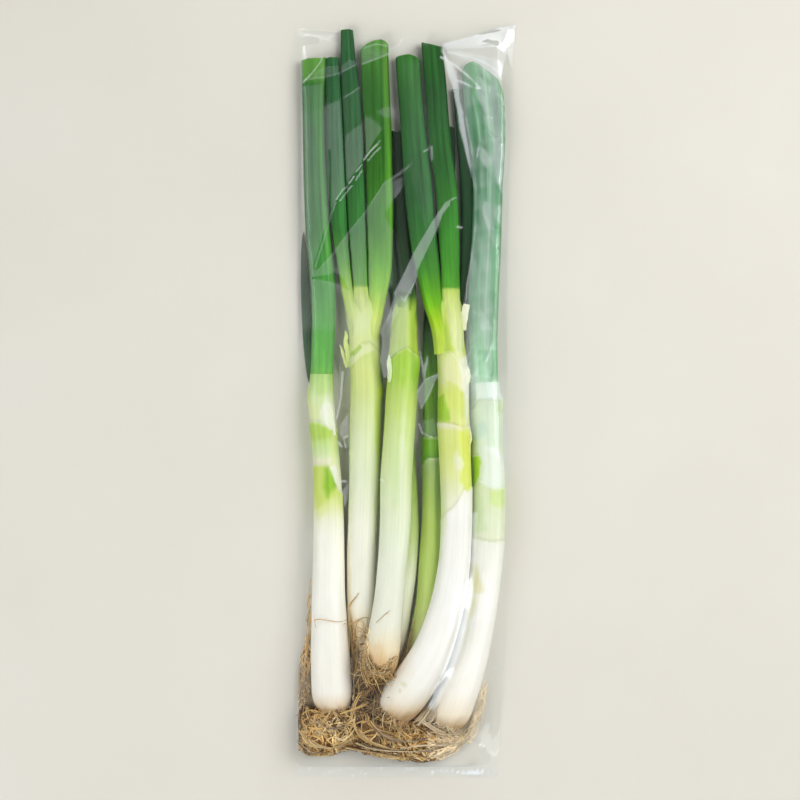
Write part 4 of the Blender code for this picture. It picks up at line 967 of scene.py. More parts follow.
def grow_tuft(name, seed, plate, plate_r, out, count, length, keep, sweep, arms=(), wide=1.0, radius=(0.28, 0.5),
              mats=(), rims=(), stray=0.22):
    """Roots from a plate. sweep(point, share) turns them; arms are strands with paths of their own."""
    strands = Strands(seed)
    rng = strands.rng
    centre = at(*plate)
    out = np.array(out, float)
    out /= np.linalg.norm(out)
    side = np.cross(out, (0, 0, 1.0))
    side /= np.linalg.norm(side)
    up = np.cross(side, out)
    for _ in range(count):
        a, r = rng.uniform(0, TAU), plate_r * PLAN * math.sqrt(rng.uniform(0.0, 1.0))
        offset = side * math.cos(a) * r + up * math.sin(a) * r * 0.9
        start = centre + offset
        start[2] = max(start[2], 0.9 * MM)
        heading = out + (side * math.cos(a) + up * math.sin(a)) * wide * r / (plate_r * PLAN) + rng.normal(0, 0.25, 3)
        path = strands.walk(start, heading, rng.uniform(*length) * MM, 2.8 * MM, stray, sweep, keep)
        colour = TANS[rng.integers(len(TANS))] * rng.uniform(0.3, 0.7) * np.array((1.06, 0.96, 0.8))
        strands.tube(smooth_path(path), rng.uniform(*radius) * MM, colour)
    for path, spread, number, rad, *pale in arms:
        line = stations_line(path, 2.6)
        for _ in range(number):
            shift = rng.normal(0, 1, 2) * spread
            drift = np.cumsum(rng.normal(0, 0.25, (len(line), 2)), axis=0)
            cut, begin = len(line), 0
            if number > 3:
                cut = rng.integers(int(len(line) * 0.45), len(line) + 1)
                begin = rng.integers(0, max(int(len(line) * 0.3), 1))
            pts = at(line[begin:cut, 0] + shift[0] + drift[begin:cut, 0], line[begin:cut, 1],
                     np.maximum(line[begin:cut, 2] + shift[1] * 0.7 + drift[begin:cut, 1] * 0.7, 0.9))
            if len(pts) < 4:
                continue
            colour = TANS[rng.integers(len(TANS))] * rng.uniform(0.8, 1.12)
            if number <= 3:
                colour = TANS[8] * rng.uniform(0.85, 1.1)
            if pale:
                colour = colour * (1 - pale[0]) + CREAM_AND_HAZE * pale[0]
            strands.tube(smooth_path(pts), rng.uniform(*rad) * MM, colour)
    for mat in mats:
        mat_strands(strands, *mat)
    for rim in rims:
        rim_fibres(strands, *rim)
    return strands.build(name)


def toward(x, y, z, strength):
    direction = np.array([x, y, z], float)
    return lambda p, s: direction * strength


def nest(bottom_v, turn, strength, down=0.12):
    """Roots run down to the end of the bag and then turn along it, most of them one way."""
    y_low = at(0, bottom_v, 0)[1]

    def pull(p, s):
        near = max(0.0, 1 - (p[1] - y_low) / (20 * MM))
        way = turn if math.sin(p[0] * 900 + p[2] * 2300) > -0.6 else -turn
        return np.array([way * strength * near, -down + (down + 0.20) * near * near, -0.02])
    return pull


# The lower border of the matted roots on the plan, as (u, v) points.
NEST_LOW = [(297, 748), (302, 756), (318, 758.5), (334, 757), (348, 752), (356, 753), (372, 758), (396, 762),
            (420, 764), (440, 763), (454, 759), (466, 750), (473, 740), (478, 726)]


def nest_height(u, v):
    """The height in mm of the matted roots' upper surface."""
    low = np.interp(u, *zip(*NEST_LOW))
    end = np.clip(0.30 + (low - v) / 20, 0.25, 1)
    left, right = np.clip(0.32 + (u - 297) / 14, 0.2, 1), np.clip(0.30 + (476 - u) / 22, 0.2, 1)
    return 23.5 * end * left * right * (0.92 + 0.08 * np.sin(u * 0.31) * np.sin(v * 0.23))


def within(points, u, v):
    """Whether a plan point lies inside an outline."""
    hit = False
    for (u0, v0), (u1, v1) in zip(points, points[1:] + points[:1]):
        if (v0 > v) != (v1 > v) and u < (u1 - u0) * (v - v0) / (v1 - v0) + u0:
            hit = not hit
    return hit


def on_plants():
    """The height in mm of the plants' upper surface as a function of plan points."""
    us, vs, top = top_raster(with_roots=False)

    def height(u, v):
        i = int(min(max((u - us[0]) / (us[1] - us[0]), 0), len(us) - 2))
        j = int(min(max((v - vs[0]) / (vs[1] - vs[0]), 0), len(vs) - 2))
        return max(top[j, i], top[j, i + 1], top[j + 1, i], top[j + 1, i + 1])
    return height


def mat_strands(strands, count, region, slant, spread, length, radius, height, depth=(3.0, 9.0), curl=0.06, bright=1.0,
                pale=0.0):
    """Long bent strands that lie over each other inside a region of the plan, most of them
    along one slant (degrees, counted from +u towards +v), at a depth range in mm below height(u, v)."""
    rng = strands.rng
    p = np.array(region, float)
    mid_u, mid_v = p.mean(0)
    for _ in range(count):
        for _ in range(60):
            u, v = rng.uniform(p[:, 0].min(), p[:, 0].max()), rng.uniform(p[:, 1].min(), p[:, 1].max())
            if within(region, u, v):
                break
        else:
            continue
        angle = math.radians(slant + rng.normal(0, spread)) + (math.pi if rng.uniform() < 0.5 else 0)
        bend = rng.normal(0, 1.6 * curl)
        deep = rng.uniform(*depth)
        points = []
        for _ in range(int(rng.uniform(*length) / 2.0)):
            bend = 0.92 * bend + curl * rng.normal()
            angle += bend
            next_u, next_v = u + math.cos(angle) * 2.85, v + math.sin(angle) * 2.85
            if not within(region, next_u, next_v):
                angle = math.atan2(mid_v - v, mid_u - u) + rng.normal(0, 0.5)
                bend = 0.0
                if points and rng.uniform() < 0.35:
                    break
                continue
            u, v = next_u, next_v
            deep = min(max(deep + rng.normal(0, 0.35), depth[0]), depth[1])
            points.append((u, v, max(height(u, v) - deep, 0.9)))
        if len(points) < 6:
            continue
        q = np.array(points)
        # Painted shade: the deeper a strand lies, the darker it is, blended towards a dark brown. bright is painted
        # light that lightens whole groups, such as top layers, the left curtain and the right-hand mat.
        depth_shade = 0.17 + 1.0 * math.exp(-(deep / 2.3) ** 2)
        colour = TANS[rng.integers(len(TANS))] * (1 - pale) + CREAM_AND_HAZE * pale
        colour = colour * rng.uniform(0.85, 1.15) * depth_shade * bright + lin(104, 62, 26) * 0.4 * max(1 - depth_shade, 0)
        strands.tube(smooth_path(at(q[:, 0], q[:, 1], q[:, 2]), 2), rng.uniform(*radius) * MM, colour)


def rim_fibres(strands, number, count, length, arc=(-0.25, 1.25), pale=0.0):
    """Short fibres that start around the rim of a shank's root end and run on past it."""
    rng = strands.rng
    rows = stations_line(SHANKS[number], 0.5)
    centre, along, side, up = frames_along(rows)
    for _ in range(count):
        k = int(rng.uniform(3, 14))
        a = rng.uniform(*arc) * math.pi
        n = side[k] * math.cos(a) + up[k] * math.sin(a)
        start = centre[k] + side[k] * rows[k, 3] * PLAN * math.cos(a) + up[k] * rows[k, 4] * MM * math.sin(a) + n * 0.1 * MM
        if start[2] < 0.9 * MM:
            continue
        d = -along[k] + side[k] * rng.normal(0, 0.75) + n * rng.uniform(0.0, 0.25)
        sway = rng.normal(0, 0.20)
        path = [start]
        for _ in range(int(rng.uniform(*length) / 1.4)):
            d = d + side[k] * sway - n * 0.11 + rng.normal(0, 0.16, 3)
            d /= np.linalg.norm(d)
            step = path[-1] + d * 1.4 * MM
            step[2] = max(step[2], 0.9 * MM)
            path.append(step)
        if len(path) >= 4:
            colour = (TANS[rng.integers(len(TANS))] * (1 - pale) + CREAM_AND_HAZE * pale) * rng.uniform(0.9, 1.2)
            strands.tube(smooth_path(path, 1), rng.uniform(0.2, 0.4) * MM, colour)


def build_roots():
    made = {}
    fat = (0.38, 0.64)
    plants = on_plants()

    def over(u, v):
        return max(plants(u, v) + 0.9, nest_height(u, v) if v > 690 else 0)

    def over_base(u, v):
        return max(plants(u, v) + 1.0, 15.0)

    def curtain(u, v):
        return (4.2 + 6.6 * min(max((v - 640) / 110, 0), 1)) * (0.72 + 0.28 * math.sin(min(max((u - 296) / 16, 0), 1) * math.pi))

    def lay(down, *points):
        return [(u, v, max(nest_height(u, v) - down, 1.2)) for u, v in points]

    def fringe(u, v):
        return 12.5 - 4.0 * min(max((u - 470) / 20, 0), 1)

    left_side = [(297.4, 752), (297.2, 700), (298, 668), (301, 650), (304, 640), (307.5, 632), (311, 630), (311.5, 650),
                 (311, 690), (313, 704), (316, 716), (312, 756)]
    left_high = [(302, 650), (305.5, 620), (308, 590), (310.4, 574), (311.8, 575), (311.4, 600), (310.8, 640), (306, 660)]
    mat_1 = [(297.6, 704), (312, 705), (316, 709), (350, 709), (353, 700), (357, 700), (358, 754), (348, 752.5),
             (334, 757), (318, 758.5), (302, 756), (297.6, 748)]
    mat_6 = [(352, 706), (360, 690), (368, 690), (376, 704), (388, 715), (404, 720), (424, 717), (436, 728), (440, 763),
             (420, 764), (396, 762), (372, 758), (354, 753.5)]
    mat_7 = [(422, 720), (434, 729), (452, 735), (466, 732), (474, 716), (478, 718), (474, 731), (466, 743), (456, 753),
             (442, 761), (424, 764)]
    right_side = [(464, 744), (468, 728), (475, 708), (479, 692), (482, 678), (489, 676), (489, 690), (485, 712), (478, 734), (468, 748)]
    made[1] = grow_tuft(
        "plant_1_roots", 101, (333, 706, 13.5), 17, (0, -1, -0.1), 90, (20, 60),
        blob(299, 352, 706, 751, 0.9, 19, 0.45), nest(752, -0.6, 0.30), radius=fat,
        mats=[(110, mat_1, 28, 40, (26, 56), (0.44, 0.66), nest_height, (3.5, 9.0)), (90, mat_1, -34, 34, (24, 50), (0.44, 0.66), nest_height, (3.0, 8.0)),
              (36, mat_1, 44, 22, (60, 120), (0.46, 0.72), nest_height, (0.2, 2.6), 0.10, 1.1), (30, mat_1, -34, 26, (50, 110), (0.46, 0.70), nest_height, (0.2, 2.4), 0.11, 1.1),
              (10, mat_1, 4, 12, (50, 110), (0.44, 0.66), nest_height, (0.0, 1.0), 0.07, 1.1), (16, mat_1, 50, 40, (50, 90), (0.46, 0.70), nest_height, (0.0, 0.6), 0.12, 1.2),
              (90, left_side, 92, 14, (26, 60), (0.34, 0.52), curtain, (0.8, 4.0), 0.06, 2.2, 0.15), (64, left_side, 90, 18, (30, 70), (0.24, 0.40), curtain, (0.0, 1.0), 0.09, 1.2, 0.3),
              (20, left_high, 96, 6, (16, 50), (0.22, 0.36), curtain, (0.0, 1.0), 0.05, 1.2)],
        rims=[(1, 56, (6, 24), (-0.1, 1.1))],
        arms=[([(314.6, 618.8, 26.2), (320, 617.8, 27.8), (333, 620.0, 27.6), (341, 620.8, 26.0), (346, 619, 24)], 0.05, 1, (0.40, 0.42)),
              ([(315, 619, 26.4), (315.4, 623, 26.4), (316, 627, 26.6)], 0.02, 1, (0.26, 0.28)),
              (lay(0.8, (300, 742), (310, 750), (326, 753), (344, 749), (356, 748)), 2.4, 14, (0.38, 0.60), 0.1),
              (lay(0.3, (302, 730), (312, 742), (330, 747), (346, 742), (356, 732)), 2.2, 12, (0.34, 0.56), 0.2),
              (lay(0.3, (318, 716), (330, 726), (344, 726), (356, 716)), 2.4, 10, (0.34, 0.54), 0.2),
              ([(341, 712, 26), (352, 708, 27.5), (362, 704, 27), (368, 700, 26)], 0.5, 3, (0.44, 0.6)),
              ([(352, 716, 25), (356, 700, 27), (362, 690, 27.5), (367, 688, 27), (368, 694, 26)], 0.8, 3, (0.40, 0.56))])
    tuft_b = [(349, 634), (352, 622), (358, 615), (369, 616), (371, 632), (369, 648), (372, 662), (371, 690), (364, 704),
              (354, 712), (351.5, 690), (350, 660)]
    made[2] = grow_tuft(
        "plant_2_roots", 102, (360.5, 664, 9), 10, (-0.1, -1, 0.05), 60, (22, 62),
        blob(351.5, 376, 655, 722, 0.9, 14.5, 0.1), toward(0, -0.08, 0, 1.0), radius=(0.3, 0.52),
        mats=[(60, [(351, 650), (371, 646), (373, 690), (362, 708), (352, 712)], 82, 26, (24, 50), (0.34, 0.52), over, (1.5, 5.0), 0.10),
              (64, tuft_b, 78, 34, (24, 60), (0.24, 0.38), over, (0.0, 1.0), 0.15, 1.25, 0.3)],
        rims=[(2, 40, (6, 22), (-0.1, 1.1))],
        arms=[([(357, 706, 16), (355.6, 680, 17), (354.2, 655, 17.4), (353.0, 634, 18.4), (352, 618, 18), (351, 606, 17.6)],
               1.2, 26, (0.24, 0.40)),
              ([(344, 622.5, 24), (350, 624, 21.6), (355, 621, 21.4), (361, 616.8, 21.8), (367, 617, 20.8), (371, 619, 18.6)], 0.1, 1, (0.36, 0.38)),
              ([(353, 640, 19), (354, 628, 20.6), (358, 619, 21.4), (365, 616, 21.2)], 0.1, 1, (0.30, 0.32)),
              ([(349, 607, 19.4), (352, 601, 21.4), (357, 596, 22.0), (359, 592, 22)], 0.3, 3, (0.26, 0.32)),
              ([(354, 639, 19.4), (359, 636, 20.6), (366, 636.5, 19.8)], 0.5, 3, (0.26, 0.32)),
              ([(352, 655, 18), (358, 646, 19.4), (366, 642, 18.6), (370, 640, 17)], 1.0, 5, (0.26, 0.34))])
    base_c = [(357, 656), (363, 650), (369, 655), (377, 661), (387, 659), (394, 651), (399, 652), (398, 662),
              (390, 674), (381, 686), (372, 694), (358, 690)]
    made[3] = grow_tuft(
        "plant_3_roots", 103, (377, 669, 24), 15, (-0.45, -0.9, -0.1), 90, (20, 60),
        blob(353, 386, 662, 722, 13.5, 29.5, 0.25), toward(-0.02, -0.08, 0, 1.0), radius=(0.3, 0.54),
        mats=[(64, [(358, 668), (370, 664), (386, 672), (378, 690), (368, 706), (356, 708), (354, 690)], 62, 30, (22, 48),
               (0.36, 0.54), over_base, (1.5, 7.0), 0.12),
              (70, base_c, 24, 34, (24, 60), (0.24, 0.40), over_base, (0.0, 2.0), 0.12, 1.0, 0.05), (44, base_c, -50, 20, (18, 44), (0.24, 0.40), over_base, (0.0, 2.0), 0.10, 1.0, 0.05)],
        rims=[(3, 60, (8, 28), (-0.1, 1.1))],
        arms=[([(374, 690, 32), (367, 674, 35), (364, 660, 35), (366, 648, 36.5), (370, 640, 37)], 1.2, 8, (0.24, 0.38)),
              ([(357, 668, 31), (366, 668.5, 34.5), (376, 670.5, 36), (382, 672, 36), (388, 668, 36)], 0.2, 1, (0.42, 0.44)),
              ([(368, 650, 37), (372, 660, 38.6), (378, 668, 39), (384, 674, 36)], 1.0, 6, (0.26, 0.40)),
              ([(376.4, 621, 34.8), (381, 616, 35.8), (385, 613.2, 36.0), (388, 609.5, 35.8), (391, 608.4, 35)], 0.05, 1, (0.30, 0.32)),
              ([(385, 613.2, 36.0), (387, 611, 36.0), (389.6, 611.4, 35.6)], 0.02, 1, (0.22, 0.24))])
    made[4] = grow_tuft(
        "plant_4_roots", 104, (390.5, 668, 7), 6, (-0.3, -1, -0.1), 30, (14, 24),
        blob(379, 401, 664, 696, 0.9, 6.0, 0.1), toward(0, -0.05, 0, 1.0))
    made[5] = grow_tuft(
        "plant_5_roots", 105, (412.5, 664.5, 7.2), 8, (-0.3, -1, -0.1), 30, (14, 26),
        blob(402.5, 424, 661, 696, 0.9, 7.2, 0.1), toward(0, -0.05, 0, 1.0),
        arms=[([(394, 680, 16), (400, 664, 17), (406, 650, 16.6), (410, 634, 15.5), (412, 620, 14.5)], 0.9, 12, (0.22, 0.36)),
              ([(393, 684, 19), (400, 670, 20), (406, 656, 19), (409, 640, 17)], 1.3, 14, (0.24, 0.38))])
    made[6] = grow_tuft(
        "plant_6_roots", 106, (393, 711, 17.5), 19, (-0.2, -1, -0.12), 90, (22, 66),
        blob(356, 426, 710, 752, 0.9, 21, 0.42), nest(753, 0.9, 0.30), radius=fat,
        mats=[(130, mat_6, 12, 34, (28, 64), (0.44, 0.68), nest_height, (3.5, 9.0)), (100, mat_6, -36, 34, (24, 50), (0.44, 0.66), nest_height, (3.0, 8.0)),
              (40, mat_6, 48, 22, (60, 120), (0.44, 0.70), nest_height, (0.2, 2.6), 0.10, 1.1), (32, mat_6, -40, 24, (50, 100), (0.44, 0.68), nest_height, (0.2, 2.4), 0.11, 1.1),
              (26, mat_6, -8, 14, (60, 130), (0.44, 0.68), nest_height, (0.0, 1.2), 0.06, 1.15), (18, mat_6, 40, 50, (50, 90), (0.44, 0.68), nest_height, (0.0, 0.6), 0.12, 1.15)],
        rims=[(6, 90, (6, 24), (-0.1, 1.1), 0.1)],
        arms=[(lay(0.9, (342, 747), (360, 750), (380, 753), (404, 757), (430, 757), (446, 754)), 2.6, 16, (0.38, 0.60), 0.1),
              (lay(0.4, (360, 742), (378, 748), (400, 750), (424, 750), (444, 745)), 2.4, 16, (0.36, 0.58), 0.2),
              (lay(0.2, (372, 722), (384, 734), (402, 740), (424, 738), (440, 732)), 2.4, 14, (0.36, 0.58), 0.2),
              ([(354, 722, 21), (362, 736, 22.5), (378, 744, 21.5), (400, 749, 19.5), (424, 744, 18.5)], 2.0, 8, (0.42, 0.66)),
              ([(366, 712, 23), (371, 724, 23.6), (382, 730, 23.4), (398, 732, 23.4)], 1.6, 12, (0.40, 0.6))])
    made[7] = grow_tuft(
        "plant_7_roots", 107, (446, 724, 12.5), 17, (-0.25, -1, -0.1), 60, (18, 46),
        blob(424, 456, 724, 752, 0.9, 17, 0.35), nest(753, -0.6, 0.30), radius=fat,
        mats=[(90, mat_7, -18, 30, (26, 60), (0.42, 0.64), nest_height, (2.6, 7.0), 0.06, 2.2, 0.35), (50, mat_7, 14, 30, (24, 50), (0.42, 0.64), nest_height, (2.0, 6.0), 0.07, 2.2, 0.35),
              (46, mat_7, -22, 16, (50, 110), (0.30, 0.50), nest_height, (0.0, 1.6), 0.07, 1.5, 0.6), (26, mat_7, 16, 24, (44, 90), (0.30, 0.50), nest_height, (0.0, 1.6), 0.11, 1.5, 0.5),
              (44, right_side, 110, 10, (24, 56), (0.18, 0.28), fringe, (0.4, 2.2), 0.06, 1.5, 0.75), (26, right_side, 106, 20, (20, 50), (0.16, 0.26), fringe, (0.0, 0.8), 0.13, 1.2, 0.8)],
        rims=[(7, 120, (5, 20), (-0.1, 1.1), 0.55)],
        arms=[([(400, 748, 20), (420, 744, 22), (440, 744, 21), (456, 741, 17), (466, 730, 14.5), (474, 712, 13)], 1.6, 18, (0.30, 0.5), 0.5),
              (lay(0.6, (412, 756), (430, 757), (446, 753), (460, 743), (470, 728), (476, 714)), 1.5, 20, (0.30, 0.48), 0.6),
              (lay(0.3, (424, 738), (438, 743), (452, 742), (464, 732), (474, 718)), 2.6, 18, (0.28, 0.46), 0.6),
              ([(418, 716, 24), (428, 724, 25), (440, 731, 26), (454, 733, 26), (466, 726, 22)], 1.8, 14, (0.28, 0.46), 0.5),
              ([(424, 722, 22), (430, 712, 22.5), (436, 703, 22), (440, 696, 20)], 2.0, 16, (0.24, 0.38), 0.55),
              ([(417, 724, 23), (423, 716, 24), (429, 707, 24), (435, 697, 22)], 1.7, 18, (0.24, 0.36), 0.5),
              ([(414, 722, 23), (420, 716, 25), (426, 709, 25), (431, 701, 24)], 1.2, 12, (0.22, 0.32), 0.4),
              ([(428, 724, 22), (434, 716, 22.5), (438, 706, 21), (441, 696, 19)], 1.6, 12, (0.24, 0.36), 0.7)])
    return made


# ---------------------------------------------------------------------- film
BAG_LEFT = [(22, 294), (60, 296.5), (120, 297.6), (300, 298), (450, 298), (560, 297),
            (610, 294.8), (700, 294), (750, 294.6), (766, 296), (779, 298)]
BAG_RIGHT = [(22, 516), (60, 513), (100, 511.4), (160, 509.6), (300, 507), (400, 508),
             (480, 510), (560, 510), (620, 507.5), (680, 504), (740, 500.5), (766, 499),
             (779, 497.5)]
MOUTH = [(0.0, 27, 0.9), (0.06, 27.5, 5.5), (0.25, 31, 9.6), (0.5, 36, 10.4),
         (0.65, 37, 10.2), (0.8, 30.5, 7.4), (0.9, 26.8, 4.6), (0.96, 25, 2.5), (1.0, 24, 0.9)]
ROOT_BLOCKS = [(298, 352, 704, 758, 27, 0.45), (298, 309, 575, 756, 7.5, 0.0), (352, 376, 655, 722, 14.5, 0.1),
               (352.5, 384, 664, 722, 30, 0.25), (353, 424, 708, 761, 29, 0.42), (418, 471, 722, 761, 24, 0.35)]


def outline(v, side):
    table = BAG_LEFT if side == "left" else BAG_RIGHT
    return np.interp(v, [p[0] for p in table], [p[1] for p in table])


def top_raster(with_roots=True):
    """The height in mm of the plants' upper surface on a fine raster of the plan."""
    us = np.arange(290, 520, 0.75)
    vs = np.arange(20, 782, 0.75)
    gu, gv = np.meshgrid(us, vs)
    top = np.zeros_like(gu)
    tables = [SHANKS[k] for k in SHANKS] + [LEAVES[k]["rows"] for k in LEAVES]
    for table in tables:
        for u, v, z, a, b in stations_line(table, 1.4):
            i = np.flatnonzero(abs(us - u) < a + 0.5)
            j = np.flatnonzero(abs(vs - v) < max(a * 0.6, 1.5))
            if not len(i) or not len(j):
                continue
            part = np.ix_(j, i)
            share = ((gu[part] - u) / (a + 0.5)) ** 2 + ((gv[part] - v) / max(a * 0.6, 1.5)) ** 2
            top[part] = np.maximum(top[part], np.where(share < 1, z + b * np.sqrt(np.clip(1 - share, 0, 1)), 0))
    for u0, u1, v0, v1, z, fall in ROOT_BLOCKS if with_roots else []:
        across = np.clip((gu - u0) / (u1 - u0), 0, 1)
        along = np.clip((gv - v0) / (v1 - v0), 0, 1)
        inside = (gu > u0) & (gu < u1) & (gv > v0) & (gv < v1)
        block = z * (1 - fall * along) * np.minimum(1.0, 0.45 + 3.8 * across * (1 - across))
        top = np.where(inside, np.maximum(top, block), top)
    return us, vs, top


def triangle_wave(x):
    return np.abs((x % 1.0) * 2 - 1)


def crumple(u, v, seed, wavelength, count, angle_from, angle_to):
    """Flat facets that meet in sharp creases: a sum of triangle waves in plan directions."""
    rng = np.random.default_rng(seed)
    total = np.zeros_like(u)
    for _ in range(count):
        a = math.radians(rng.uniform(angle_from, angle_to))
        length = wavelength * rng.uniform(0.6, 1.5)
        warp = 0.22 * wob(u * 0.02, v * 0.02, int(rng.integers(1e6)), 2)
        total += triangle_wave((u * math.cos(a) + v * math.sin(a)) / length + rng.uniform(0, 1) + warp) * length
    return total / (wavelength * count)


def fold(u, v, line, height, sharp=1.6, flip=False):
    """A long leaning facet: line is (u, v, half width) along its middle. The film rises
    across it to height mm and drops back within sharp plan units."""
    line = stations_line(line, 2.0)
    d2 = (u[..., None] - line[:, 0]) ** 2 + (v[..., None] - line[:, 1]) ** 2
    near = d2.argmin(-1)
    tangent = np.gradient(line[:, :2], axis=0)
    tangent /= np.linalg.norm(tangent, axis=1)[:, None]
    du, dv = u - line[near, 0], v - line[near, 1]
    s = du * -tangent[near, 1] + dv * tangent[near, 0]
    t = du * tangent[near, 0] + dv * tangent[near, 1]
    if flip:
        s = -s
    w = np.maximum(line[near, 2], 0.4)
    rise = np.clip((s + w) / (2 * w), 0, 1)
    drop = np.clip(1 - (s - w) / sharp, 0, 1)
    ends = np.clip(1 - np.abs(t) / 2.5, 0, 1)
    return height * rise * drop * np.where(np.abs(t) > 0.01, ends, 1) * np.clip(w / (0.6 * line[:, 2].max()), 0, 1)


FOLDS = [
    # (line, height mm, sharp, flip)
    ([(316, 267, 1.5), (327, 238, 8), (345, 208, 13), (362, 186, 13), (376, 166, 9), (388, 146, 5), (392, 120, 4), (388, 70, 3)], 2.0, 1.6, False),
    ([(301, 84, 2), (318, 78, 5), (338, 72, 7), (360, 64, 7), (388, 58, 3)], 0.8, 1.4, True),
    ([(385, 340, 2), (397, 300, 7), (408, 276, 8), (424, 244, 7), (437, 220, 4), (449, 202, 1.5)], 1.2, 1.3, False),
    ([(392, 222, 2), (397, 200, 7), (404, 182, 6), (416, 160, 2)], 1.0, 1.3, False),
    ([(423, 178, 1.5), (428, 162, 4), (431, 148, 2)], 0.9, 1.0, True),
    ([(445, 56, 2), (455, 88, 5), (464, 122, 5), (470, 160, 5), (474, 200, 4), (475, 240, 2)], 1.6, 1.4, False),
    ([(300, 545, 1), (305, 570, 5), (303, 595, 4), (308, 604, 1)], 0.8, 1.0, True),
    ([(310, 280, 1), (324, 277, 3.5), (342, 284, 4), (352, 292, 1)], 0.6, 1.2, False),
]

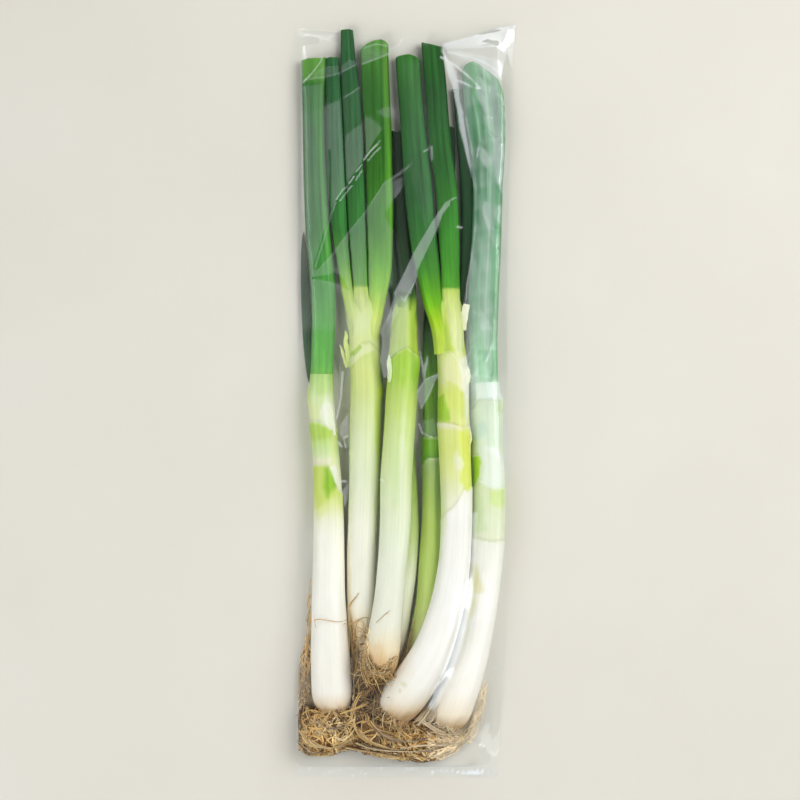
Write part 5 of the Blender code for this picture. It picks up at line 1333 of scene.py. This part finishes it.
# Painted reflection: how strongly the film mirrors the lights, painted region by region as outlines of (u, v) points:
# the later ones lie over the earlier ones. (sheen, edge softness, outline)
PAINTED_SHEENS = [
    (0.10, 14, [(290, 20), (525, 20), (525, 330), (290, 330)]),
    # Painted haze: the wide region over onions 1 and 2.
    (1.05, 4, [(296, 110), (320, 108), (340, 100), (343, 137), (361, 124), (366, 116), (374, 120), (383, 131),
               (363, 160), (331, 210), (314, 268), (318, 271), (333, 252), (365, 212), (384, 183), (404, 178),
               (386, 214), (389, 224), (397, 244), (402, 276), (389, 290), (392, 330), (296, 372)]),
    (0.85, 2, [(303, 86), (322, 84), (323, 110), (303, 112)]),
    (0.25, 2, [(343, 97), (361, 86), (361, 124), (343, 137)]),
    (0.70, 1.4, [(309, 79), (322, 67), (338, 66), (338, 72), (325, 77)]),
    (0.80, 1.2, [(341, 66), (349, 60), (357, 63), (341, 72)]),
    (0.90, 1.2, [(360, 49), (376, 43), (389, 50), (389, 54), (362, 64)]),
    (1.00, 4, [(378, 112), (386, 107), (397, 110), (396, 118), (384, 118)]),
    # No painted reflection on the dark leaning pleat, so the leaves show clearly.
    (0.0, 0.8, [(382, 130), (391, 126), (392, 176), (383, 184), (365, 213), (346, 235), (334, 252), (318, 271),
                (313, 268), (331, 210), (345, 186), (363, 160)]),
    (0.05, 1.2, [(330, 275), (336, 272), (344, 279), (349, 291), (336, 283), (312, 279), (312, 277)]),
    # Little painted reflection along the gaps between the leaves, so the gaps stay dark.
    (0.08, 0.7, [(342.0, 112), (344.2, 112), (346.2, 170), (348.8, 215), (352.6, 268), (354.4, 290), (351.8, 290),
                 (350.0, 268), (346.4, 215), (343.8, 170)]),
    (0.08, 0.7, [(363.0, 112), (365.2, 112), (366.0, 170), (367.2, 215), (369.0, 278), (369.2, 300), (366.6, 300),
                 (366.4, 278), (364.8, 215), (363.6, 170)]),
    (0.10, 0.8, [(328.8, 150), (331.2, 150), (331.8, 215), (335.0, 246), (338.6, 268), (335.6, 268), (332.4, 246),
                 (329.4, 215)]),
    (0.25, 2.0, [(392, 226), (397, 240), (401, 268), (402, 292), (393, 300), (392, 262)]),
    # Painted haze fading down the shanks.
    (0.45, 10, [(296, 330), (380, 330), (380, 372), (296, 372)]),
    # Painted glare: the long pointed band over onion 3 and the leaves of onion 6.
    (2.7, 0.7, [(450, 200), (449, 206), (443, 213), (437, 230), (429, 246), (421, 262), (416, 274), (412, 285),
                (409, 294), (408, 303), (401, 304), (396, 298), (394, 294), (401, 280), (408, 265), (414, 254),
                (423, 238), (433, 222), (438, 212), (445, 205)]),
    (2.1, 0.9, [(409, 294), (408, 346), (398, 350), (390, 357), (389, 373), (384, 379), (380, 360), (383, 345),
                (381, 331), (387, 317), (391, 308), (397, 291)]),
    (1.5, 1.0, [(383, 330), (389, 322), (389, 352), (385, 346)]),
    (1.2, 0.8, [(384, 182), (400, 172), (416, 159), (417, 161), (402, 174), (385, 185)]),
    (1.3, 0.8, [(394, 199), (394, 192), (404, 183), (400, 192)]),
    # A painted bright fleck of glare on the leaf of onion 6.
    (4.6, 0.9, [(425, 152), (432, 147), (431, 160), (430, 177), (424, 180), (422, 172), (424, 160)]),
    (0.35, 6, [(404, 60), (419, 62), (432, 150), (436, 210), (426, 230), (412, 180)]),
    # Painted glare on the slope down over onion 7.
    (2.15, 1.6, [(441, 47), (448, 60), (456, 85), (462, 110), (466, 135), (470, 155), (473, 172), (475, 190),
                (474, 215), (473, 240), (470, 262), (466, 285), (464, 304), (468, 312), (466, 345), (466, 400),
                (508, 400), (510, 180), (507, 120), (500, 78), (486, 66), (474, 60), (462, 66), (461, 78)]),
    (1.3, 5, [(466, 110), (476, 104), (484, 128), (480, 160), (474, 165)]),
    (1.4, 4, [(500, 66), (508, 110), (510, 200), (505, 200), (502, 120)]),
    (2.5, 3, [(480, 60), (498, 78), (494, 110), (480, 118), (476, 84)]),
    (2.7, 4, [(480, 140), (499, 138), (503, 178), (492, 196), (480, 180)]),
    (3.3, 4, [(475, 172), (482, 168), (491, 250), (492, 330), (480, 330), (478, 260)]),
    (1.6, 3, [(490, 230), (498, 220), (498, 300), (494, 330)]),
    (1.9, 3, [(466, 290), (478, 300), (478, 340), (472, 380), (466, 380)]),
    (0.9, 3, [(478, 350), (497, 350), (497, 382), (478, 382)]),
    (2.2, 8, [(466, 400), (508, 400), (509, 470), (466, 430)]),
    # Painted glare: the mouth's right corner is one bright sheet.
    (1.6, 2.0, [(440, 46), (470, 40), (517, 22), (512, 62), (508, 86), (497, 78), (474, 60), (460, 72), (450, 62)]),
    (5.0, 1.6, [(443, 43), (480, 33), (517, 24), (517, 34), (480, 46), (446, 47)]),
    (3.6, 1.4, [(443, 48), (470, 53), (500, 60), (510, 76), (506, 84), (484, 68), (462, 58)]),
    (4.6, 1.6, [(498, 26), (516, 23), (514, 40), (504, 52), (492, 42)]),
    (5.0, 1.0, [(443, 56), (451, 63), (458, 80), (460, 100), (463, 112), (466, 135), (470, 158), (474.5, 180),
                (475.4, 200), (473.6, 184), (467, 160), (460, 130), (457, 108), (453, 88), (447, 74)]),
    (3.2, 0.8, [(470, 150), (473, 158), (478, 172), (476, 180), (472, 176)]),
    # Painted reflection over the gap between onions 1 and 2, and painted glints on the nicks beside onion 3 and 5.
    (0.02, 3, [(332, 366), (347, 366), (350, 420), (350, 560), (338, 560), (334, 440)]),
    (0.35, 0.9, [(336, 372), (343, 364), (341, 398), (337, 418), (335, 424)]),
    (0.3, 3, [(336, 290), (344, 296), (347, 330), (345, 356), (336, 366)]),
    (2.0, 0.9, [(341, 424), (348, 414), (348, 436), (344, 441), (340, 432)]),
    (2.0, 0.8, [(343, 490), (349, 482), (348, 500), (345, 506)]),
    (2.9, 0.7, [(420, 352), (424, 366), (427, 357), (428, 362), (424, 380), (421, 366)]),
    (2.2, 0.9, [(417, 398), (419, 390), (425, 380), (434, 375), (438, 377), (432, 386), (428, 398), (421, 408)]),
    (0.8, 1.2, [(420, 421), (434, 418), (437, 436), (423, 435)]),
    (2.0, 0.8, [(466, 358), (474, 346), (472, 350), (466, 363)]),
    # Painted soft gloss on the shanks and the gathered bottom.
    (0.55, 9, [(350, 428), (364, 430), (368, 500), (350, 512)]),
    (1.1, 6, [(446, 570), (466, 560), (462, 610), (446, 640)]),
    (0.5, 4, [(497, 500), (512, 490), (508, 620), (504, 762), (480, 764), (486, 700), (494, 620)]),
    (0.9, 5, [(486, 700), (504, 690), (502, 762), (476, 763), (480, 736)]),
    (0.05, 4, [(432, 728), (474, 718), (478, 744), (456, 757), (432, 757)]),
    (0.2, 4, [(292, 560), (310, 560), (306, 764), (292, 764)]),
    (2.6, 2.0, [(470, 512), (477, 512), (476, 550), (474.5, 572), (467, 572), (469, 550)]),
    (4.2, 4.5, [(467, 572), (474.5, 572), (471.5, 598), (468, 614), (464, 632), (459, 650), (452, 670), (442, 692),
                (434, 708), (428, 704), (432, 690), (441, 672), (448, 654), (454, 636), (459, 616), (463, 596)]),
    (0.15, 8, [(300, 700), (350, 706), (424, 722), (430, 756), (420, 762), (300, 756)]),
    (1.7, 2, [(294, 766), (500, 766), (500, 780), (294, 780)]),
    (1.0, 5, [(296, 22), (340, 26), (336, 48), (300, 60)]),
    (2.2, 2.5, [(506, 48), (513, 40), (517, 30), (514, 110), (508, 118), (505, 76)]),
    (0.5, 5, [(352, 30), (440, 36), (440, 42), (394, 54), (356, 44)]),
]

# Painted glints: fine bright lines of raised sheen: (sheen, half width, points)
PAINTED_GLINTS = [
    (5.6, 0.2, [(364, 160), (370, 152), (377, 145)]), (3.6, 0.15, [(368, 161), (374, 154), (380, 148)]),
    (2.4, 0.2, [(377, 145), (380, 141)]), (4.4, 0.2, [(336, 200), (343, 190), (347, 187)]), (3.4, 0.15, [(340, 201), (347, 192), (352, 186)]),
    (4.4, 0.2, [(349, 184), (354, 177)]), (3.4, 0.15, [(356, 180), (362, 171)]), (3.6, 0.2, [(356, 172), (362, 165)]),
    (1.7, 0.3, [(315, 268), (323, 243), (331, 215), (336, 203)]),
    (1.9, 0.3, [(318, 271), (334, 253), (347, 235), (366, 212), (384, 184)]),
    (3.0, 0.2, [(301, 84), (309, 77), (320, 63), (323, 55)]), (2.4, 0.15, [(305, 80), (316, 68), (321, 61)]),
    (1.8, 0.3, [(309, 79), (325, 77), (340, 73), (357, 64)]), (1.7, 0.3, [(343, 98), (352, 93), (360, 87)]),
    (2.4, 0.4, [(362, 64), (376, 59), (389, 54)]), (2.6, 0.4, [(364, 48), (376, 44), (388, 46)]),
    (7.0, 0.6, [(441, 57), (456, 66), (468, 76), (480, 88), (474, 88), (462, 82), (455, 80)]),
    (6.0, 0.6, [(442, 50), (447, 60), (450, 64)]), (6.0, 0.5, [(448, 52), (474, 58), (488, 64), (499, 72)]),
    (6.0, 0.6, [(444, 46), (462, 41), (486, 32), (512, 24)]), (5.0, 0.5, [(446, 48), (480, 47), (506, 44)]),
    (4.0, 0.5, [(449, 51), (470, 60), (478, 60)]), (6.5, 0.6, [(508, 26), (511, 34), (509, 44)]),
    (4.5, 0.5, [(472, 96), (478, 120), (480, 140), (476, 162)]), (4.0, 0.5, [(466, 118), (472, 150), (476, 170)]),
    (5.0, 0.55, [(470, 160), (474, 176), (476, 190), (476, 214), (474, 240)]),
    (3.6, 0.5, [(474, 240), (471, 262), (467, 285), (466, 300)]), (2.0, 0.5, [(483, 216), (486, 250), (487, 300), (491, 372)]),
    (2.6, 0.45, [(486, 362), (490, 350), (491, 340)]), (3.2, 0.6, [(505.5, 112), (506.5, 140), (506, 180), (503.5, 220), (502, 300)]),
    (3.6, 0.5, [(301.4, 60), (302, 110), (302.4, 180), (303.6, 232)]), (2.6, 0.5, [(300, 240), (300.6, 300), (302, 360)]),
    (2.4, 0.5, [(410, 294), (413, 285), (417, 274)]), (3.2, 0.4, [(390, 357), (398, 350), (408, 346)]),
    (3.0, 0.4, [(395, 297), (402, 280), (414, 254), (433, 222), (446, 203), (454, 199)]),
    (3.0, 0.45, [(452, 199.5), (456, 198)]), (5.5, 0.5, [(457, 227), (461.5, 228)]),
    (4.0, 0.4, [(401, 297), (404, 302), (406, 296)]), (3.4, 0.4, [(424, 152), (432, 147), (432, 160)]),
    (6.5, 0.6, [(299.5, 532), (304, 529), (309, 526)]), (5.0, 0.45, [(338.6, 442), (342, 446.5)]), (4.4, 0.4, [(344.5, 441), (346, 447)]),
    (5.0, 0.45, [(344, 438), (348, 435.5)]), (4.4, 0.45, [(342, 480), (347, 482)]),
    (3.6, 0.4, [(337, 418), (341, 398), (343, 372)]), (3.6, 0.45, [(417, 393), (425, 380), (437, 375)]),
    (3.6, 0.4, [(421, 408), (428, 396), (433, 384)]), (3.4, 0.45, [(419, 424), (422, 433), (432, 437)]),
    (3.0, 0.4, [(420, 352), (424, 379)]), (3.0, 0.4, [(427, 357), (424, 379)]), (5.0, 0.5, [(380, 479), (383, 480)]),
    (3.2, 0.5, [(472, 346), (466, 362)]), (3.0, 0.5, [(312, 530), (309, 548), (303, 580), (300, 592)]),
    (3.2, 0.5, [(296, 700), (297, 730), (298, 758)]), 
    
    (2.4, 0.5, [(499, 640), (500, 680), (499, 716)]), (2.0, 0.5, [(489, 664), (492, 690), (491.5, 716)]),
    
    
    
    
    (3.4, 0.3, [(338, 768.2), (350, 769.4), (363, 768.3)]), (4.5, 0.3, [(452, 766.8), (466, 765.8), (479, 766.6)]), (3.4, 0.3, [(410, 768.4), (423, 767.4), (436, 768.2)]),
    (5.0, 0.3, [(470, 751), (478, 754.5), (485, 755)]), (4.0, 0.3, [(476, 743), (484, 746.5)]), (4.0, 0.3, [(494, 690), (496, 716), (495.4, 738)]),
    (5.0, 0.3, [(482, 674), (490, 670), (500, 668)]), (3.0, 0.6, [(340, 26), (332, 36), (320, 40)]), (3.4, 0.6, [(306, 34), (318, 36), (330, 40)]),
    (3.4, 0.6, [(303, 42), (306, 58)]), (2.6, 0.6, [(390, 50), (398, 46), (402, 40)]),
    (4.2, 0.3, [(486, 82), (490, 88), (490, 93)]), (3.8, 0.3, [(497, 94), (502, 98), (503, 104)]),
    (4.0, 0.3, [(479, 112), (485, 117), (493, 118)]), (3.6, 0.3, [(491, 138), (497, 144), (503, 145)]),
    (3.8, 0.3, [(478, 196), (486, 203), (496, 205)]), (3.4, 0.3, [(488, 226), (495, 231), (502, 230)]),
    (3.2, 0.3, [(482, 262), (489, 267)]), (3.0, 0.3, [(474, 312), (482, 317), (487, 316)]),
    (3.6, 0.3, [(484, 160), (488, 171), (487, 182)]), (3.2, 0.3, [(496, 244), (499, 258), (498, 272)]),
]


def inside_soft(u, v, outline_points, soft):
    """1 inside an outline and 0 outside it, with an edge of soft plan units."""
    p = np.array(outline_points, float)
    pad = soft + 1
    weight = np.zeros(u.shape)
    near = ((u > p[:, 0].min() - pad) & (u < p[:, 0].max() + pad)
            & (v > p[:, 1].min() - pad) & (v < p[:, 1].max() + pad))
    x, y = u[near], v[near]
    inside = np.zeros(x.shape, bool)
    best = np.full(x.shape, 1e9)
    for a, b in zip(p, np.roll(p, -1, axis=0)):
        crosses = (a[1] > y) != (b[1] > y)
        with np.errstate(divide="ignore", invalid="ignore"):
            at_x = (b[0] - a[0]) * (y - a[1]) / (b[1] - a[1]) + a[0]
        inside ^= crosses & (x < at_x)
        d = b - a
        t = np.clip(((x - a[0]) * d[0] + (y - a[1]) * d[1]) / max((d ** 2).sum(), 1e-9), 0, 1)
        best = np.minimum(best, np.hypot(x - a[0] - t * d[0], y - a[1] - t * d[1]))
    signed = np.where(inside, best, -best)
    weight[near] = smooth(signed, -0.5 * soft, 0.5 * soft)
    return weight


def line_soft(u, v, points, half):
    """1 on a line of plan points, falling to 0 past its half width and thinner at its ends."""
    p = np.array(points, float)
    reach = half + 2.2
    weight = np.zeros(u.shape)
    near = ((u > p[:, 0].min() - reach) & (u < p[:, 0].max() + reach)
            & (v > p[:, 1].min() - reach) & (v < p[:, 1].max() + reach))
    x, y = u[near], v[near]
    best = np.full(x.shape, 1e9)
    for a, b in zip(p[:-1], p[1:]):
        d = b - a
        t = np.clip(((x - a[0]) * d[0] + (y - a[1]) * d[1]) / max((d ** 2).sum(), 1e-9), 0, 1)
        best = np.minimum(best, np.hypot(x - a[0] - t * d[0], y - a[1] - t * d[1]))
    weight[near] = 1 - smooth(best, half * 0.6, half + 0.9)
    return weight


# Painted reflection: the front film's sheen, set region by region from the tables above.
def painted_film_sheen(u, v):
    base = 0.22 + 0.10 * wob(u * 0.05, v * 0.03, 55, 3)
    for level, soft, points in PAINTED_SHEENS:
        w = inside_soft(u + 0.5 * wob(v * 0.11, u * 0.07, 61, 2), v + 0.5 * wob(u * 0.12, v * 0.06, 62, 2), points, soft)
        base = base * (1 - w) + level * w
    for level, half, points in PAINTED_GLINTS:
        w = line_soft(u, v, points, half)
        base = np.maximum(base, level * w)
    # Painted mottling of the film's glare over onion 7, as on finely puckered film.
    painted_pucker = smooth(u, 466, 474) * smooth(420 - v, 0, 60) * smooth(v, 50, 70)
    patchy = smooth(wob(u * 0.13, v * 0.055, 81, 3), -0.10, 0.12) - 0.5
    upper = 0.35 + 0.65 * smooth(270 - v, 0, 60)
    base = base * (1 + painted_pucker * (0.95 * upper * patchy + 0.22 * wob(u * 0.5, v * 0.3, 82, 2) - 0.20 * upper))
    # Painted glint specks on the small wrinkles of the welded strip, closer together at a few places.
    strip = smooth(v, 764.5, 767.5) * smooth(779 - v, 0.5, 3)
    busy = 0.35 + 0.65 * np.clip(smooth(7 - np.abs(u - 429), 0, 4) + smooth(18 - np.abs(u - 470), 0, 6)
                                 + smooth(16 - np.abs(u - 358), 0, 6) * 0.6, 0, 1)
    painted_speck = wob(u * 0.62 + 0.8 * wob(v * 0.5, u * 0.3, 73, 1), v * 0.55, 71, 2) + 0.5 * wob(u * 0.17, v * 0.3, 72, 2)
    base = base + 9.0 * smooth(painted_speck, 0.32, 0.95) * strip * busy
    return np.clip(base, 0, 12)


def film_heights(u, v, us, vs, top, mouth_row):
    """Heights in mm for the front film's grid: laid on the plants and drawn tight between them."""
    fi = np.clip((u - us[0]) / (us[1] - us[0]), 0, len(us) - 1.001)
    fj = np.clip((v - vs[0]) / (vs[1] - vs[0]), 0, len(vs) - 1.001)
    i, j = fi.astype(int), fj.astype(int)
    need = np.maximum.reduce([top[j, i], top[j, i + 1], top[j + 1, i], top[j + 1, i + 1]])
    seam = 0.62
    need = np.where(need > 0, need + 0.75 + 0.9 * smooth(v, 590, 620), seam)
    z = need.copy()

    def pin(h):
        h[0] = mouth_row
        h[:, 0] = h[:, -1] = seam
        h[v[:, 0] >= 766] = seam
        return h

    # Coarse to fine, so that the wide spans settle.
    for stride, rounds in ((8, 260), (4, 220), (2, 220), (1, 320)):
        rr = np.unique(np.append(np.arange(0, z.shape[0], stride), z.shape[0] - 1))
        cc = np.unique(np.append(np.arange(0, z.shape[1], stride), z.shape[1] - 1))
        sub = np.ix_(rr, cc)
        zs, ns, fixed = z[sub].copy(), need[sub].copy(), np.zeros((len(rr), len(cc)), bool)
        if stride > 1:
            for a in range(len(rr)):
                r0, r1 = rr[max(a - 1, 0)], rr[min(a + 1, len(rr) - 1)] + 1
                for b in range(len(cc)):
                    c0, c1 = cc[max(b - 1, 0)], cc[min(b + 1, len(cc) - 1)] + 1
                    ns[a, b] = need[r0:r1, c0:c1].mean() * 0.3 + need[rr[a], cc[b]] * 0.7
        fixed[0] = fixed[:, 0] = fixed[:, -1] = True
        fixed[v[rr, 0] >= 766] = True
        zs = np.maximum(zs, ns)
        zs[0] = mouth_row[cc]
        zs[:, 0] = zs[:, -1] = seam
        zs[v[rr, 0] >= 766] = seam
        keep = zs.copy()
        for _ in range(rounds):
            pull = zs.copy()
            pull[1:-1, 1:-1] = (zs[1:-1, :-2] + zs[1:-1, 2:] + 0.5 * (zs[:-2, 1:-1] + zs[2:, 1:-1])) / 3.0
            zs = np.where(fixed, keep, np.maximum(ns, pull))
        if stride > 1:
            rows_f = np.interp(np.arange(z.shape[0]), rr, np.arange(len(rr)))
            cols_f = np.interp(np.arange(z.shape[1]), cc, np.arange(len(cc)))
            r0 = np.minimum(rows_f.astype(int), len(rr) - 2)
            c0 = np.minimum(cols_f.astype(int), len(cc) - 2)
            fr, fc = (rows_f - r0)[:, None], (cols_f - c0)[None, :]
            full = ((1 - fr) * (1 - fc) * zs[np.ix_(r0, c0)] + (1 - fr) * fc * zs[np.ix_(r0, c0 + 1)]
                    + fr * (1 - fc) * zs[np.ix_(r0 + 1, c0)] + fr * fc * zs[np.ix_(r0 + 1, c0 + 1)])
            z = pin(np.maximum(full, need))
        else:
            z = zs
    return z


def build_film():
    us, vs, top = top_raster()
    # Rows stand closer over the leaves, where the film has its fine creases.
    cols = 186
    share = np.linspace(0, 1, cols)
    down = np.interp(np.linspace(0, 1, 530), [0, 0.70, 1], [0, 0.60, 1])
    rows = len(down)
    m_share, m_v, m_z = zip(*MOUTH)
    mouth_v = np.interp(share, m_share, m_v)
    mouth_z = np.interp(share, m_share, m_z)
    v = mouth_v[None, :] + (779 - mouth_v[None, :]) * down[:, None]
    left, right = outline(v, "left"), outline(v, "right")
    u = left + (right - left) * share[None, :]
    z = film_heights(u, v, us, vs, top, mouth_z)

    edge = np.minimum(share, 1 - share)[None, :]
    free = smooth(edge, 0.0, 0.05) * smooth(766 - v, 0, 10) * smooth(v - mouth_v[None, :], 0, 6)
    leafy = smooth(320 - v, 0, 60)
    bottom = smooth(v, 640, 740)
    relief = (crumple(u, v, 21, 34, 3, 20, 75) * (0.3 + 0.6 * leafy)
              + crumple(u, v, 22, 15, 3, -20, 60) * (0.15 + 0.20 * leafy + 0.5 * bottom)
              + crumple(u, v, 23, 60, 2, 60, 120) * 0.5) * free
    for line, height, sharp, flip in FOLDS:
        lu = [p[0] for p in line]
        lv = [p[1] for p in line]
        near = ((u > min(lu) - 20) & (u < max(lu) + 20) & (v > min(lv) - 20) & (v < max(lv) + 20))
        relief[near] += fold(u[near], v[near], line, height, sharp, flip) * free[near]
    z = z + relief
    # The welded strip has small cross wrinkles.
    strip = smooth(v, 764, 768)
    z = z + strip * edge ** 0.2 * (0.25 * crumple(u, v, 31, 9, 3, -30, 30) + 0.12 * crumple(u, v, 32, 4, 2, -40, 40))
    z = np.minimum(z, 43.6)
    verts = at(u, v, z)
    uv = np.stack([u * PLAN, v * PLAN], axis=-1)
    # The painted reflection map is stored in the front film's tint attribute.
    sheen = np.repeat(painted_film_sheen(u, v)[..., None], 3, axis=-1)
    front = mesh_object("film_front", verts, grid_quads(rows, cols)[:, ::-1], uv, sheen)

    cols, rows = 60, 200
    share = np.linspace(0, 1, cols)
    v = 22 + (779 - 22) * np.linspace(0, 1, rows)[:, None] + np.zeros((1, cols))
    left, right = outline(v, "left"), outline(v, "right")
    u = left + (right - left) * share[None, :]
    rim = 1 - smooth(np.minimum(share, 1 - share)[None, :] + 0 * v, 0.0, 0.12)
    z = 0.12 + 0.2 * crumple(u, v, 41, 22, 3, 0, 90) * (0.3 + rim)
    faint = np.full(u.shape + (3,), 0.25)
    back = mesh_object("film_back", at(u, v, z), grid_quads(rows, cols)[:, ::-1],
                       np.stack([u * PLAN, v * PLAN], axis=-1), faint)
    return front, back


# --------------------------------------------------------------------- build
for number in SHANKS:
    place(shank_mesh(number), SHANK_MAT, "white_shank", f"onion_{number}_shank")
for index, (name, spec) in enumerate(LEAVES.items()):
    place(leaf_mesh(name, spec, 500 + 20 * index), LEAF_MAT, "leaf", spec["node"])
for name, (rows, foot, tip, curl) in SCRAPS.items():
    place(scrap_mesh(name, rows, foot, tip, curl), SHANK_MAT, "white_shank")
for number, tuft in build_roots().items():
    place(tuft, ROOT_MAT, "roots", f"onion_{number}_roots")
front, back = build_film()
place(front, FRONT_FILM, "clear_film", "bag_front_film")
place(back, BACK_FILM, "clear_film", "bag_back_film")


# --------------------------------------------------------------------- stage
def floor():
    mat, nodes, links = node_material("pale floor")
    out = nodes.new("ShaderNodeOutputMaterial")
    shader = nodes.new("ShaderNodeBsdfPrincipled")
    links.new(shader.outputs[0], out.inputs[0])
    where = nodes.new("ShaderNodeTexCoord")
    noise = nodes.new("ShaderNodeTexNoise")
    noise.inputs["Scale"].default_value = 9.0
    noise.inputs["Detail"].default_value = 5.0
    links.new(where.outputs["Object"], noise.inputs["Vector"])
    tone = nodes.new("ShaderNodeMix")
    tone.data_type = "RGBA"
    tone.inputs["A"].default_value = (*lin(227, 224, 214), 1)
    tone.inputs["B"].default_value = (*lin(235, 233, 226), 1)
    links.new(noise.outputs[0], tone.inputs["Factor"])
    links.new(tone.outputs["Result"], shader.inputs["Base Color"])
    shader.inputs["Roughness"].default_value = 0.9
    shader.inputs["Specular IOR Level"].default_value = 0.1
    size = 3.0
    obj = mesh_object("floor", [(-size, -size, -0.0002), (size, -size, -0.0002), (size, size, -0.0002), (-size, size, -0.0002)],
                      [(0, 1, 2, 3)])
    obj.data.materials.append(mat)


def area_light(name, target, direction, distance, width, height, radiance, tint=(1, 1, 1)):
    light = bpy.data.lights.new(name, "AREA")
    light.shape = "RECTANGLE"
    light.size, light.size_y = width, height
    light.energy = radiance * math.pi * width * height
    light.color = tint
    obj = bpy.data.objects.new(name, light)
    bpy.context.scene.collection.objects.link(obj)
    d = np.array(direction, float)
    d /= np.linalg.norm(d)
    place_at = np.array(target) + d * distance
    obj.location = place_at
    z = d
    x = np.cross((0, 1.0, 0), z)  # the panel's long side follows +Y
    x /= np.linalg.norm(x)
    y = np.cross(z, x)
    from mathutils import Matrix
    obj.rotation_euler = Matrix([list(x), list(y), list(z)]).transposed().to_euler()
    obj.visible_camera = False
    return obj


floor()
# The overhead panel and the two side panels are there for the soft gloss only; the key and the fill light the bunch.
panel = area_light("overhead panel", (0, 0, 0), (0.0, 0.0, 1.0), 1.3, 4.6, 3.4, 1.05)
panel.visible_diffuse = False
side_panel = area_light("side panel", (0.07, 0, 0.01), (1.0, 0.0, 0.42), 1.3, 0.85, 2.2, 1.25)
side_panel.visible_diffuse = False
left_panel = area_light("left side panel", (-0.07, 0, 0.01), (-1.0, 0.0, 0.42), 1.3, 0.85, 2.2, 1.0)
left_panel.visible_diffuse = False
key = area_light("key", (0, 0, 0), (0.72, 0.38, 1.0), 1.7, 1.1, 1.1, 4.6, (1.0, 0.99, 0.965))
key.visible_glossy = False
fill = area_light("fill", (0, 0, 0), (-0.72, -0.52, 1.0), 1.6, 1.0, 1.1, 2.5)
fill.visible_glossy = False

world = bpy.data.worlds.new("studio")
bpy.context.scene.world = world
world.use_nodes = True
tree = world.node_tree
tree.nodes.clear()
w_out = tree.nodes.new("ShaderNodeOutputWorld")
w_back = tree.nodes.new("ShaderNodeBackground")
w_pos = tree.nodes.new("ShaderNodeTexCoord")
w_sep = tree.nodes.new("ShaderNodeSeparateXYZ")
w_map = tree.nodes.new("ShaderNodeMapRange")
tree.links.new(w_pos.outputs["Generated"], w_sep.inputs[0])
tree.links.new(w_sep.outputs["Z"], w_map.inputs["Value"])
w_map.inputs["From Min"].default_value = 0.45
w_map.inputs["From Max"].default_value = 0.95
w_map.inputs["To Min"].default_value = 0.62
w_map.inputs["To Max"].default_value = 0.06
tree.links.new(w_map.outputs[0], w_back.inputs["Strength"])
w_back.inputs["Color"].default_value = (1.0, 0.99, 0.97, 1.0)
tree.links.new(w_back.outputs[0], w_out.inputs[0])

camera_data = bpy.data.cameras.new("camera")
camera = bpy.data.objects.new("camera", camera_data)
bpy.context.scene.collection.objects.link(camera)
CAMERA_HEIGHT = 2.6
camera.location = ((400 - U0) * PLAN, (V0 - 400) * PLAN, CAMERA_HEIGHT)
camera_data.sensor_width = 36.0
camera_data.lens = 36.0 * (CAMERA_HEIGHT - 0.012) / (800 * PLAN)
camera_data.clip_start = 0.1
camera_data.clip_end = 20
bpy.context.scene.camera = camera
bpy.context.scene.view_settings.view_transform = "Standard"
